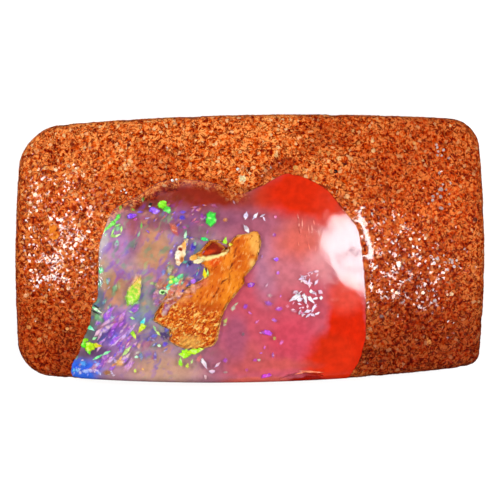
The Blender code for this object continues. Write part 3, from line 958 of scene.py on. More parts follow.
    ("streak", -8.11, -5.29, 0.51, 0.19, 45, 0xC8A0C8, 0xB888C8, 1),
    ("blob", -8.69, -5.26, 0.32, 0.19, 30, 0xB050E8, 0xA048D8, 1),
    ("blob", 1.72, -0.72, 0.32, 0.26, 20, 0xB058FF, 0xB058FF, 0),
    ("blob", 1.83, -1.57, 0.26, 0.26, 0, 0xC060F0, 0xC060F0, 1),
    ("blob", 0.13, -2.33, 0.51, 0.32, 15, 0xA848D0, 0xA040C0, 0),
    ("blob", -0.22, -3.71, 0.45, 0.32, 70, 0x9848D8, 0x9040C0, 1),
    ("blob", 1.25, -3.49, 0.58, 0.38, -20, 0xB060D0, 0xA858C0, 1),
    ("blob", 1.91, -3.85, 0.58, 0.32, 10, 0xC858E0, 0xC050D8, 1),
    ("blob", 1.21, -5.37, 0.58, 0.29, -27, 0xD858F0, 0xD050E8, 0),
    ("blob", 0.40, -7.13, 0.32, 0.26, 0, 0xD050C0, 0xC048B0, 1),
    ("blob", 0.63, -7.13, 0.26, 0.22, 0, 0xB0B0A0, 0xA8A8A0, 1),
    ("blob", 1.10, -8.15, 0.64, 0.26, 14, 0xE048E0, 0xD040D0, 0),
    ("blob", -1.51, -7.14, 0.38, 0.38, 0, 0xB850C8, 0xA848B8, 1),
    ("blob", -0.15, -7.76, 0.26, 0.26, 0, 0xC05090, 0xC05090, 1),
    ("blob", 1.62, -5.73, 0.26, 0.22, 90, 0xC8A060, 0xB89858, 0),
    ("blob", -0.37, -5.47, 0.32, 0.26, 90, 0x90707C, 0x886874, 1),
    ("blob", 1.60, 0.83, 0.32, 0.32, 0, 0xB050B0, 0xA048A8, 1),
    # Painted glints: the white and lilac flakes in the next six rows; the pink dot among them is fire.
    ("chip", -0.19, 2.05, 0.58, 0.32, 80, 0xF0E0FF, 0xE8D8F8, 0),
    ("streak", 0.40, 2.03, 0.64, 0.22, 52, 0xF0E0FF, 0xF8F0FF, 0),
    ("streak", 0.85, 2.05, 0.45, 0.15, 30, 0xE8D0E8, 0xE0C0E0, 0),
    ("streak", 0.96, 1.83, 0.38, 0.13, -60, 0xF0D8F0, 0xE0C0E0, 0),
    ("blob", 1.67, 1.97, 0.19, 0.19, 0, 0xF070B0, 0xF070B0, 0),
    ("streak", -0.15, 1.18, 0.71, 0.29, -58, 0xD8C8D8, 0xF0E8F0, 0),
    ("streak", -0.94, 2.88, 0.38, 0.15, -60, 0xC090A0, 0xB08090, 1),
    # Painted glints: the white, lilac and pale pink flakes from here down to the streak at (3.85, -1.56) are
    # a cluster of glints on small fractures.
    ("drop", 2.87, -3.18, 0.83, 0.38, 212, 0xFFF8FF, 0xF8E0F8, 0),
    ("streak", 3.21, -3.27, 0.45, 0.32, 10, 0xF8F0FF, 0xF0E0F8, 0),
    ("drop", 3.58, -3.24, 0.71, 0.26, -75, 0xFFF8FF, 0xF8E8FF, 0),
    ("drop", 3.96, -3.30, 0.71, 0.28, -48, 0xFFF8FF, 0xF8E8FF, 0),
    ("chip", 3.94, -2.75, 0.26, 0.26, 0, 0xFFFFFF, 0xF8F0FF, 0),
    ("chip", 4.53, -2.79, 0.38, 0.28, -30, 0xF8C8E0, 0xF0B8D8, 0),
    ("chip", 4.58, -3.17, 0.26, 0.26, 0, 0xFFFFFF, 0xF8F0FF, 0),
    ("streak", 3.21, -3.55, 0.32, 0.13, -20, 0xF8E0F8, 0xF0D0F0, 0),
    ("blob", 3.43, -3.78, 0.15, 0.13, 0, 0xF0C0E0, 0xF0C0E0, 0),
    ("streak", 3.74, -4.01, 0.51, 0.22, 15, 0xF8E8FF, 0xF0D8F0, 0),
    ("streak", 4.13, -3.77, 0.58, 0.18, 55, 0xF8E8FF, 0xF8D8F8, 0),
    ("streak", 3.77, -4.27, 0.51, 0.15, 42, 0xF8E0F8, 0xF0D0F0, 0),
    ("blob", 3.33, -4.10, 0.17, 0.14, 0, 0xF080B0, 0xF080B0, 0),
    ("streak", 3.30, -1.94, 0.38, 0.15, 25, 0xF8D8F8, 0xF0C8F0, 0),
    ("streak", 3.59, -2.18, 0.58, 0.23, -40, 0xF8E0F8, 0xE8B8D8, 0),
    ("streak", 3.81, -2.12, 0.51, 0.13, 75, 0xF8E0F8, 0xE8C8E8, 0),
    ("streak", 4.28, -2.16, 0.45, 0.18, 55, 0xF8E0F8, 0xF0C8E8, 0),
    ("streak", 3.85, -1.56, 0.58, 0.12, 20, 0xF0C0D8, 0xE8A8C8, 1),
    ("streak", 1.14, -2.34, 0.45, 0.15, 60, 0xE0B0C8, 0xD098B0, 1),
    ("blob", 1.32, -3.01, 0.38, 0.32, 0, 0xC09098, 0xB88890, 1),
    ("blob", 2.44, -3.69, 0.26, 0.26, 0, 0xE890A8, 0xE080A0, 1),
    ("blob", 2.82, -3.97, 0.51, 0.26, -20, 0xD890A8, 0xC87898, 1),
    ("blob", -0.99, -3.81, 0.45, 0.32, 60, 0xC8D0B0, 0xB0B8A0, 1),
    ("streak", -0.81, -3.56, 0.51, 0.15, 40, 0xC8D0A8, 0xB8C0A0, 1),
    ("drop", -1.47, -4.59, 0.51, 0.32, 60, 0xC8D868, 0xB0C058, 1),
    # A painted highlight: these two salmon streaks lie along the lit upper edge of the broken chip.
    ("streak", 4.00, -7.90, 1.70, 0.13, -4, 0xFF9068, 0xF87850, 0),
    ("streak", 3.30, -7.98, 0.90, 0.10, 12, 0xFF8860, 0xE85838, 0),
    ("blob", -1.54, -4.87, 0.26, 0.19, 0, 0xB8B890, 0xA8A888, 1),
    ("blob", -3.52, -0.62, 0.62, 0.42, 15, 0xF8B850, 0xF0A040, 0),
    ("blob", -3.20, -0.84, 0.70, 0.32, 12, 0xFFF0C0, 0xFFE8A8, 0),
)
print("large flakes:", len(FLAKES_AND_PAINTED_GLINTS))

# %% Lay the large flakes
FLAKE_THICKNESS = 0.008
STEP_UP = 0.00015  # a flake lies this much higher than the one listed before it
TOP_DEPTH = 0.045  # the least depth of a flake below the polish
CRISP_SHARE = 0.25  # a crisp flake lies this much of a soft one's depth below that
SEED_STEP = 1.37  # how far apart the seeds of two ragged outlines lie
# The width at a flake's start, middle and end, as shares of its greatest width.
WIDTH_ALONG = {
    "blob": (1.0, 1.0, 1.0), "drop": (1.25, 0.8, 0.15), "streak": (0.35, 1.1, 0.25), "chip": (0.2, 1.2, 0.2),
}


def linear(code):
    """Linear light values of a colour written as on a colour card, two hex digits a channel."""
    shares = np.array([code >> 16 & 255, code >> 8 & 255, code & 255]) / 255
    return np.where(shares <= 0.04045, shares / 12.92, ((shares + 0.055) / 1.055) ** 2.4)


def surface(plan):
    """Height of the polished face, with its rounded shoulder, over plan points."""
    return dome(plan) - shoulder_drop(from_loop(plan, OUTLINE))


def shape_flake(unit, kind, seed):
    """Makes the round plate's points ragged and draws them out to a kind of flake."""
    around = unit[:, :2] / np.hypot(unit[:, 0], unit[:, 1])[:, None]
    wave = 1.0 + 0.36 * ragged(around * 0.9, 0.45, seed) + 0.26 * ragged(around * 0.9, 0.2, seed)
    u, v = unit[:, 0] * wave, unit[:, 1] * wave
    return u, v * np.interp(u, (-1.0, -0.1, 1.0), WIDTH_ALONG[kind])


def lay_flake(kind, x, y, length, width, turn, start, end, soft, seed, share=0.25, strength=1.0, level=0.0):
    """Lays a copy of the flake; the share says how far it sinks towards the cloudy heart."""
    flake = twin(template, "flake")
    unit = unit_points(flake)
    u, v = shape_flake(unit, kind, seed)
    turn = math.radians(turn)
    px = x + (u * length * math.cos(turn) - v * width * math.sin(turn)) / 2
    py = y + (u * length * math.sin(turn) + v * width * math.cos(turn)) / 2
    plan = np.column_stack([px, py])
    sunk = share * cloud_depth(np.array([[x, y]]))[0] * (1.0 if soft else CRISP_SHARE)
    z = surface(plan) - (TOP_DEPTH + sunk - level) + unit[:, 2] * FLAKE_THICKNESS
    set_points(flake, np.column_stack([plan, z]))
    ring = np.hypot(unit[:, 0], unit[:, 1])
    light = strength * (np.ones(len(unit)) if soft else 1.0 - 0.5 * ease(ring, 0.85, 1.0))
    cover = 0.85 * ease(ring, 1.0, 0.4) if soft else 1.0 - 0.5 * ease(ring, 0.8, 1.0)
    for name, code in (("tint", start), ("tint_end", end)):
        set_colours(flake, name, np.column_stack([np.outer(light, linear(code)), cover]))
    set_attribute(flake, "along", u)
    return flake


flakes = [lay_flake(*row, seed=k * SEED_STEP, level=k * STEP_UP) for k, row in enumerate(FLAKES_AND_PAINTED_GLINTS)]
print("laid:", len(flakes))

# %% [markdown]
# ## The small flakes
#
# The small flakes are strewn in groups. Each group has a place, a lean and its own few colours, and
# dice with a fixed seed give the same flakes every time. None may stick out of the opal, and only
# two groups may lap over the shard. At last all are joined, because hundreds of objects are slow to
# handle.

# %% Strew the small flakes and join all
# A group: its centre, half sizes, how many, lean, its spread, lengths, widths as shares of the
# length, 1 if soft, colours.
GROUPS = (
    (-8.5, -5.8, 1.4, 2.0, 36, 50, 9, (0.5, 1.4), (0.2, 0.5), 1,
     (0x8A50E8, 0xB860D8, 0xD080C8, 0x6A60F0, 0xE0A0C0, 0xA060E8)),
    (-8.5, -6.0, 1.3, 1.7, 14, 46, 14, (0.6, 1.5), (0.16, 0.28), 1,
     (0xE8B0D8, 0xDCB8F0, 0xF0C8D8, 0xC8A0F8, 0xD890E0)),
    (-10.6, -7.85, 1.1, 0.55, 26, 20, 60, (0.25, 0.6), (0.4, 0.7), 1,
     (0x60A0FF, 0xA8B8FF, 0x3858F0, 0x88C8FF, 0xC8C8FF, 0x3040C8)),
    (-4.6, 1.9, 2.7, 0.9, 28, 25, 40, (0.25, 0.7), (0.25, 0.6), 1,
     (0x7850D8, 0xA850B0, 0x6058E0, 0xB85888, 0xD07858)),
    (-4.1, -1.0, 1.1, 1.7, 26, 40, 30, (0.25, 0.6), (0.25, 0.6), 1,
     (0x4848D8, 0x6858E0, 0x58A0B0, 0xC08080, 0x70C090)),
    (-8.8, 1.1, 0.7, 1.2, 12, 60, 20, (0.3, 0.7), (0.2, 0.5), 1,
     (0x80D080, 0x9870D0, 0x90E8B0, 0xC088C8)),
    (-9.2, -3.2, 0.7, 1.3, 12, 60, 30, (0.3, 0.8), (0.25, 0.6), 1,
     (0x609888, 0x7090B0, 0x80B080, 0x9080C0)),
    (-6.3, -6.0, 1.7, 1.3, 14, 45, 30, (0.3, 0.8), (0.25, 0.6), 1,
     (0x8060C0, 0x6868D0, 0x80A088, 0xC09098)),
    (-9.9, -7.7, 1.6, 0.55, 16, 20, 60, (0.2, 0.5), (0.4, 0.7), 1,
     (0xE0D0F8, 0xC8A8F0, 0xA878E0, 0xF0D8F0)),
    (3.9, 0.9, 0.8, 1.0, 14, 97, 8, (0.4, 1.0), (0.08, 0.16), 1,
     (0xFF9080, 0xF87860, 0xFFA898, 0xC85048)),
    (1.0, -3.4, 1.3, 3.6, 12, 20, 40, (0.2, 0.5), (0.3, 0.6), 1, (0xC060D8, 0xB068C8, 0xE070C0)),
    # The next two groups are strewn white and lilac flecks, which are painted glints.
    (3.55, -3.55, 0.80, 0.85, 26, 60, 50, (0.12, 0.40), (0.25, 0.6), 0, (0xF8E8F8, 0xF0D0E8, 0xE8A8C8)),
    (3.85, -1.95, 0.60, 0.50, 14, 60, 50, (0.12, 0.42), (0.2, 0.5), 0, (0xF8E0F8, 0xE8B8D0)),
)
# Groups that lie over the shard's left side, where cloudy opal laps over it.
VEILS = (
    (-5.2, -3.0, 0.9, 1.0, 24, 45, 40, (0.4, 1.0), (0.25, 0.5), 1,
     (0xB87890, 0xE09878, 0xA870B8, 0xD8A8A0, 0xC05850)),
    (-4.2, -2.6, 1.1, 0.6, 20, 35, 25, (0.5, 1.1), (0.25, 0.5), 1,
     (0xE08858, 0xD86840, 0xF09868, 0xC06878, 0xE8A088)),
)
dice = random.Random(4)


def join(pieces, name):
    bpy.ops.object.select_all(action="DESELECT")
    for piece in pieces:
        piece.select_set(True)
    bpy.context.view_layer.objects.active = pieces[0]
    bpy.ops.object.join()
    pieces[0].name = name
    return pieces[0]


def scatter(group, inside, shares):
    """Strews a group of flakes, none further inside the shard's outline than asked."""
    centre_x, centre_y, half_x, half_y, count, lean, spread, lengths, widths, soft, colours = group
    for _ in range(count):
        x = centre_x + half_x * dice.uniform(-1.0, 1.0)
        y = centre_y + half_y * dice.uniform(-1.0, 1.0)
        kind, length = dice.choice(("blob", "streak", "streak")), dice.uniform(*lengths)
        width, turn = length * dice.uniform(*widths), dice.gauss(lean, spread)
        start, end, seed = dice.choice(colours), dice.choice(colours), dice.uniform(0, 90)
        share, strength = dice.uniform(*shares), dice.uniform(0.8, 1.2)
        in_opal = inside_at(x, y, RIM) >= 0.15 and inside_at(x, y, OUTLINE) >= 0.3
        if in_opal and inside_at(x, y, SHARD_LOOP) < inside:
            row = (kind, x, y, length, width, turn, start, end, soft)
            flakes.append(lay_flake(*row, seed, share, strength))


for group in GROUPS:
    scatter(group, 0.05, (0.3, 0.7))
for group in VEILS:
    scatter(group, 0.75, (0.0, 0.1))
fire = join(flakes, "opal_fire")
print("flakes of fire:", len(fire.data.polygons), "faces")

# %% [markdown]
# ## Quartz grains
#
# A few grains of quartz in the rock are larger and paler than the sand. They were cut through with
# the rest of the face, so each one is a small lump whose top is flat and level with the polish. A
# few are listed one by one, ninety are strewn over the rock, and the palest lie in loose clusters.
# Some near-white listed grains are set where the face glints, so their white is partly quartz and
# partly a painted glint. Two grains of bright ochre lie close together at the left and are kept as a
# piece of their own, because they take the shard's finish.

# %% Set the quartz grains
# The near-white grains at (-4.87, 4.29), (-4.62, 4.36), (-7.95, 3.70), (-8.15, 3.62), (-7.82, 3.52) and
# (-0.70, 5.00) are partly painted glints.
GRAINS_AND_PAINTED_GLINTS = (
    (-0.38, 4.36, 0.52, 0xF4DDA8), (9.55, -1.03, 0.42, 0xF0CDA0),
    (-4.87, 4.29, 0.20, 0xF8F0E8), (-4.62, 4.36, 0.15, 0xF8F0E8), (-7.95, 3.70, 0.16, 0xF4E8DC),
    (-8.15, 3.62, 0.12, 0xF4E8DC), (-7.82, 3.52, 0.14, 0xF4E8DC), (-0.70, 5.00, 0.24, 0xF0E0D0),
    (2.95, 5.10, 0.34, 0xE8A050), (5.51, 4.87, 0.34, 0x301008), (1.72, 5.90, 0.30, 0xE8B070),
    (4.25, 4.42, 0.26, 0xF0A050),
)
GRAIN_COLOURS = (0xF0A058, 0xE89048, 0xF4B878, 0xE07A30, 0x6A2008)
STREWN, PER_CLUSTER = 90, 8
CLUSTERS = ((12.2, 5.9), (12.3, 3.6), (12.5, 3.0), (12.0, -0.7), (12.8, -1.1), (-13.2, -2.2))
CLUSTER_COLOURS = (0xD8B8B0, 0xC8A098)


def set_grain(x, y, size, colour, seed):
    """A ragged lump, cut off just below the polish."""
    bpy.ops.mesh.primitive_ico_sphere_add(subdivisions=2, radius=1)
    grain = bpy.context.object
    points = unit_points(grain)
    points *= (1.0 + 0.35 * ragged(points, 0.9, seed))[:, None]
    points = points * size / 2 + (x, y, 0.0)
    face = surface(points[:, :2])
    height = face - 0.2 * size + points[:, 2]
    points[:, 2] = np.minimum(height, face - 0.002)
    set_points(grain, points)
    set_colours(grain, "tint", np.tile([*linear(colour), 1.0], (len(points), 1)))
    return grain


def draw_grain(x, y, sizes, colours):
    """Sets a grain whose size, colour and shape are left to chance."""
    size, colour = dice.uniform(*sizes), dice.choice(colours)
    return set_grain(x, y, size, colour, dice.random() * 50)


grains = [set_grain(*row, seed=k) for k, row in enumerate(GRAINS_AND_PAINTED_GLINTS)]
while len(grains) < len(GRAINS_AND_PAINTED_GLINTS) + STREWN:
    x, y = dice.uniform(-14.6, 14.6), dice.uniform(-8.0, 8.2)
    if inside_at(x, y, OUTLINE) >= 0.5 and inside_at(x, y, RIM) <= -0.3:
        grains.append(draw_grain(x, y, (0.16, 0.34), GRAIN_COLOURS))
for centre_x, centre_y in CLUSTERS:
    for _ in range(PER_CLUSTER):
        x, y = dice.gauss(centre_x, 0.4), dice.gauss(centre_y, 0.35)
        grains.append(draw_grain(x, y, (0.12, 0.26), CLUSTER_COLOURS))
quartz = join(grains, "quartz_grains")
ochre_pair = [set_grain(-12.56, 1.22, 0.62, 0, 70), set_grain(-12.48, 0.80, 0.66, 0, 71)]
ochre = join(ochre_pair, "ochre_grain")
smooth_faces(quartz, 30)
smooth_faces(ochre, 30)
print("quartz grains:", len(quartz.data.polygons), "faces")

# %% [markdown]
# ## Working with nodes
#
# A finish is a network of nodes. Written out node by node it would be long and hard to read, so each
# step that is needed often has a helper: mix two colours, look through one colour at another, turn a
# noise into a share, lay a soft-edged oval. A helper's place is a position in millimetres.

# %% Node helpers
def feed(tree, inputs, values):
    """Gives each named input its value, or links it to the output socket that it takes."""
    for key, value in values.items():
        if isinstance(value, bpy.types.NodeSocket):
            tree.links.new(value, inputs[key])
        else:
            inputs[key].default_value = value


def add(tree, kind, inputs, **settings):
    """A new node with its settings and inputs."""
    made = tree.nodes.new("ShaderNode" + kind)
    for name, value in settings.items():
        setattr(made, name, value)
    feed(tree, made.inputs, inputs)
    return made


def use(tree, group, inputs):
    """The outputs of a node group."""
    return add(tree, "Group", inputs, node_tree=group).outputs


def reckon(tree, operation, *values):
    return add(tree, "Math", dict(enumerate(values)), operation=operation).outputs[0]


def reckon_vector(tree, operation, *values):
    return add(tree, "VectorMath", dict(enumerate(values)), operation=operation).outputs[0]


def scaled(tree, vector, factor):
    return add(tree, "VectorMath", {0: vector, "Scale": factor}, operation="SCALE").outputs[0]


def noisy(tree, place, scale, detail, distortion=0.0):
    """Smooth noise from about 0 to 1."""
    inputs = {"Vector": place, "Scale": scale, "Detail": detail, "Distortion": distortion}
    return add(tree, "TexNoise", inputs).outputs[0]


def kept(tree, name, output="Fac"):
    """What a piece keeps for each point under a name."""
    return add(tree, "Attribute", {}, attribute_name=name).outputs[output]


def between(tree, value, start, end, low=0.0, high=1.0):
    """Rises smoothly from low to high while the value goes from start to end."""
    inputs = {0: value, 1: start, 2: end, 3: low, 4: high}
    return add(tree, "MapRange", inputs, interpolation_type="SMOOTHSTEP").outputs[0]


def winding(tree, field, inner, outer, share=1.0):
    """The share along the winding lines where a noise passes its middle, and 0 beside them."""
    away = reckon(tree, "ABSOLUTE", reckon(tree, "SUBTRACT", field, 0.5))
    return between(tree, away, inner, outer, share, 0.0)


def drawn_out(tree, place, degrees, stretch):
    """A place turned on the plan and then squeezed, so that a pattern on it is drawn out."""
    turned = add(tree, "VectorRotate", {"Vector": place, "Angle": math.radians(degrees)},
                 rotation_type="Z_AXIS").outputs[0]
    return reckon_vector(tree, "MULTIPLY", turned, stretch)


def paint(code):
    return (*linear(code), 1.0)


def grey(level):
    return (level, level, level, 1.0)


def blend(tree, share, low, high, kind="MIX"):
    """Mixes two colours by a share."""
    return add(tree, "Mix", {0: share, 6: low, 7: high}, data_type="RGBA", blend_type=kind).outputs[2]


def seen_through(tree, colour, tint):
    """A colour as it looks through a tint."""
    return blend(tree, 1.0, colour, tint, "MULTIPLY")


print("a colour card's orange:", [round(float(share), 3) for share in paint(0xF08020)])

# %% [markdown]
# ## Warp and soft patch
#
# Two small node groups serve nearly every finish. "warp" bends a place a little, so that borders
# wander as natural ones do. "soft patch" says how far a place belongs to a soft-edged oval that goes
# right through the stone. Zones of colour are such ovals, laid over one another in the order they are
# listed. A painted image would be quicker to make, but would blur when seen close and could not be
# changed by its numbers.

# %% Group helpers, warp and soft patch
ORIGIN, THROUGH = (0.0, 0.0, 0.0), 500.0  # an oval's height is far more than the stone's


def new_group(name, inputs, outputs):
    """An empty node group; inputs are (name, kind, value) and outputs (name, kind)."""
    group = bpy.data.node_groups.new(name, "ShaderNodeTree")
    for label, kind, value in inputs:
        socket = group.interface.new_socket(label, in_out="INPUT", socket_type="NodeSocket" + kind)
        socket.default_value = value
    for label, kind in outputs:
        group.interface.new_socket(label, in_out="OUTPUT", socket_type="NodeSocket" + kind)
    return group, group.nodes.new("NodeGroupInput").outputs, group.nodes.new("NodeGroupOutput").inputs


def make_warp():
    tree, given, result = new_group(
        "warp", [("Place", "Vector", ORIGIN), ("Span", "Float", 1.0), ("Reach", "Float", 0.2)],
        [("Place", "Vector")])
    scale = reckon(tree, "DIVIDE", 1.0, given["Span"])
    noise_node = add(tree, "TexNoise", {"Vector": given["Place"], "Scale": scale, "Detail": 3.0})
    centred = reckon_vector(tree, "SUBTRACT", noise_node.outputs["Color"], (0.5, 0.5, 0.5))
    moved = reckon_vector(tree, "ADD", given["Place"], scaled(tree, centred, given["Reach"]))
    feed(tree, result, {"Place": moved})
    return tree


def make_soft_patch():
    tree, given, result = new_group(
        "soft patch",
        [("Place", "Vector", ORIGIN), ("Centre", "Vector", ORIGIN), ("Size", "Vector", (1.0, 1.0, 1.0)),
         ("Turn", "Vector", ORIGIN), ("Softness", "Float", 0.5)],
        [("Share", "Float")])
    local = add(tree, "Mapping", {
        "Vector": given["Place"], "Location": given["Centre"], "Rotation": given["Turn"],
        "Scale": given["Size"]}, vector_type="TEXTURE").outputs[0]
    away = add(tree, "VectorMath", {0: local}, operation="LENGTH").outputs["Value"]
    inner = reckon(tree, "SUBTRACT", 1.0, given["Softness"])
    outer = reckon(tree, "ADD", 1.0, given["Softness"])
    feed(tree, result, {"Share": between(tree, away, inner, outer, 1.0, 0.0)})
    return tree


warp, soft_patch = make_warp(), make_soft_patch()


def wander(tree, place, span, reach):
    return use(tree, warp, {"Place": place, "Span": span, "Reach": reach})["Place"]


def patch(tree, place, x, y, half_x, half_y, turn=0, softness=0.5):
    """How far a place belongs to a soft-edged oval on the plan."""
    return use(tree, soft_patch, {
        "Place": place, "Centre": (x, y, 0.0), "Size": (half_x, half_y, THROUGH),
        "Turn": (0.0, 0.0, math.radians(turn)), "Softness": softness})["Share"]


def lay_zones(tree, place, colour, zones, through=None):
    """Lays zones over a colour: (x, y, half sizes, turn, softness, share, colour).

    Where a colour is given to look through, a zone tints that one instead of covering it.
    """
    for *oval, share, code in zones:
        zone = paint(code) if through is None else seen_through(tree, through, paint(code))
        amount = reckon(tree, "MULTIPLY", patch(tree, place, *oval), share)
        colour = blend(tree, amount, colour, zone)
    return colour


print("groups:", [group.name for group in bpy.data.node_groups])

# %% [markdown]
# ## Sand
#
# The rock is sand: grains of quartz, each stained by iron oxide to its own orange or brown, packed
# and cut level. A cell pattern gives the grains, and three noises of different sizes make some
# places paler or darker. Over that go winding strokes, pale and dark, where grains have run together.
# A few grains are glassy. They are polished, each at its own slight tilt, so that a lamp's reflection
# breaks into sparkles, and "Shine" makes them more common and adds small glassy curls. An image of
# sand would repeat itself and have its own light baked in.

# %% The sand group
def sand_colour(tree, given, per_grain, seam, luck, broad, fine, clump):
    """The colour of the grains, with seams, strokes and a few pale grains."""
    tone = reckon(tree, "MULTIPLY_ADD", luck[0], 0.40, reckon(tree, "MULTIPLY_ADD", broad, 0.7, -0.28))
    for field, weight, offset in ((clump, 1.3, -0.65), (fine, 2.4, -0.94)):
        tone = reckon(tree, "ADD", tone, reckon(tree, "MULTIPLY_ADD", field, weight, offset))
    colour = blend(tree, between(tree, tone, 0.0, 0.5), given["Dark"], given["Middle"])
    colour = blend(tree, between(tree, tone, 0.5, 1.0), colour, given["Light"])
    colour = blend(tree, reckon(tree, "MULTIPLY_ADD", seam, -0.3, 0.3), colour, given["Dark"])
    for shift, share, tint in ((0.0, 0.85, given["Light"]), (9.0, 0.9, given["Dark"])):
        moved = reckon_vector(tree, "ADD", given["Place"], (shift, shift, shift))
        strokes = winding(tree, noisy(tree, moved, per_grain(0.6), 1.0, 0.7), 0.015, 0.085, share)
        amount = reckon(tree, "MULTIPLY", strokes, between(tree, clump, 0.36, 0.56, 0.35, 1.0))
        colour = blend(tree, amount, colour, tint)
    return blend(tree, between(tree, luck[1], 0.96, 0.98, 0.0, 0.6), colour, given["Pale"])


def sand_gloss(tree, given, per_grain, warped, broad, clump):
    """How glassy a place is: single small grains, and curls where grains crowd together."""
    glints = add(tree, "TexVoronoi", {"Vector": warped, "Scale": per_grain(1.4)}).outputs["Color"]
    chance = add(tree, "SeparateColor", {0: glints}).outputs[0]
    chance = reckon(tree, "MULTIPLY_ADD", given["Shine"], -0.07, chance)
    single = reckon(tree, "MULTIPLY", between(tree, chance, 0.06, 0.13, 0.95, 0.0),
                    between(tree, broad, 0.40, 0.56, 0.2, 1.0))
    curls = winding(tree, noisy(tree, warped, per_grain(0.7), 1.0, 0.5), 0.02, 0.06)
    crowd = reckon(tree, "ADD", clump, reckon(tree, "MULTIPLY_ADD", given["Shine"], 0.25, -0.14))
    curls = reckon(tree, "MULTIPLY", curls, between(tree, crowd, 0.47, 0.53))
    return reckon(tree, "MAXIMUM", single, curls)


def sand_tilt(tree, given, cells, glassy):
    """The even face, tilted a little at every grain and more at a dull one."""
    lean = reckon_vector(tree, "SUBTRACT", cells["Color"], (0.5, 0.5, 0.5))
    steep = between(tree, glassy, 0.25, 0.31, given["Tilt"], reckon(tree, "MULTIPLY", given["Tilt"], 3.5))
    even = add(tree, "NewGeometry", {}).outputs["Normal"]
    leaning = reckon_vector(tree, "ADD", even, scaled(tree, lean, steep))
    return add(tree, "VectorMath", {0: leaning}, operation="NORMALIZE").outputs[0]


def make_sand():
    tree, given, result = new_group(
        "sand",
        [("Place", "Vector", ORIGIN), ("Grain", "Float", 0.19), ("Dark", "Color", paint(0x701000)),
         ("Middle", "Color", paint(0xDC5408)), ("Light", "Color", paint(0xFFA658)),
         ("Pale", "Color", paint(0xFFD8A0)), ("Tilt", "Float", 0.2), ("Shine", "Float", 0.0)],
        [("Color", "Color"), ("Roughness", "Float"), ("Gloss", "Float"), ("Height", "Float"),
         ("Normal", "Vector")])

    def per_grain(count):
        return reckon(tree, "DIVIDE", count, given["Grain"])

    warped = wander(tree, given["Place"], given["Grain"], reckon(tree, "MULTIPLY", given["Grain"], 0.9))
    where = {"Vector": warped, "Scale": per_grain(1.0)}
    cells = add(tree, "TexVoronoi", where).outputs
    to_edge = add(tree, "TexVoronoi", where, feature="DISTANCE_TO_EDGE").outputs[0]
    seam = between(tree, to_edge, 0.0, 0.12)
    luck = add(tree, "SeparateColor", {0: cells["Color"]}).outputs
    broad = noisy(tree, given["Place"], 0.9, 4.0)
    fine = noisy(tree, given["Place"], per_grain(0.85), 1.0)
    clump = noisy(tree, given["Place"], per_grain(0.4), 3.0)
    feed(tree, result, {
        "Color": sand_colour(tree, given, per_grain, seam, luck, broad, fine, clump),
        "Roughness": between(tree, luck[2], 0.25, 0.31, 0.12, 0.5),
        "Gloss": sand_gloss(tree, given, per_grain, warped, broad, clump),
        "Height": reckon(tree, "ADD", seam, reckon(tree, "MULTIPLY", fine, 0.6)),
        "Normal": sand_tilt(tree, given, cells, luck[2])})
    return tree


sand = make_sand()
print("sand:", len(sand.nodes), "nodes")

# %% [markdown]
# ## The finish of the host rock
#
# Iron stains a rock unevenly, so broad soft zones tint the sand: greyer at the right, paler at the left,
# and browner and darker towards the lower corners. That darkening is partly stain and partly painted
# shade where the face turns away from the back light. A dark zone along the opal's upper edge is a
# painted shadow under the rock's edge. At three places more of the sand is glassy. The hollows that
# were pressed into the mesh get painted shade, the darker the deeper they are. The polish is a thin
# coat over the glassy grains and the worn ledge, because under it the sand itself stays dull. Making
# the whole face glossy would be simpler, but it would mirror the lamps as one broad sheen.

# %% Helpers for finishes
def new_finish(name):
    """A new material with its nodes, the inputs of its surface, and the place in millimetres."""
    material = bpy.data.materials.new(name)
    material.use_nodes = True
    tree = material.node_tree
    place = scaled(tree, add(tree, "TexCoord", {}).outputs["Object"], 1.0 / MM)
    return material, tree, tree.nodes["Principled BSDF"].inputs, place


def bumped(tree, height, strength, distance, **others):
    """The normal of a surface that is embossed by a height; the distance is in millimetres."""
    inputs = {"Height": height, "Strength": strength, "Distance": distance * MM, **others}
    return add(tree, "Bump", inputs).outputs[0]


print("finishes so far:", len(bpy.data.materials))

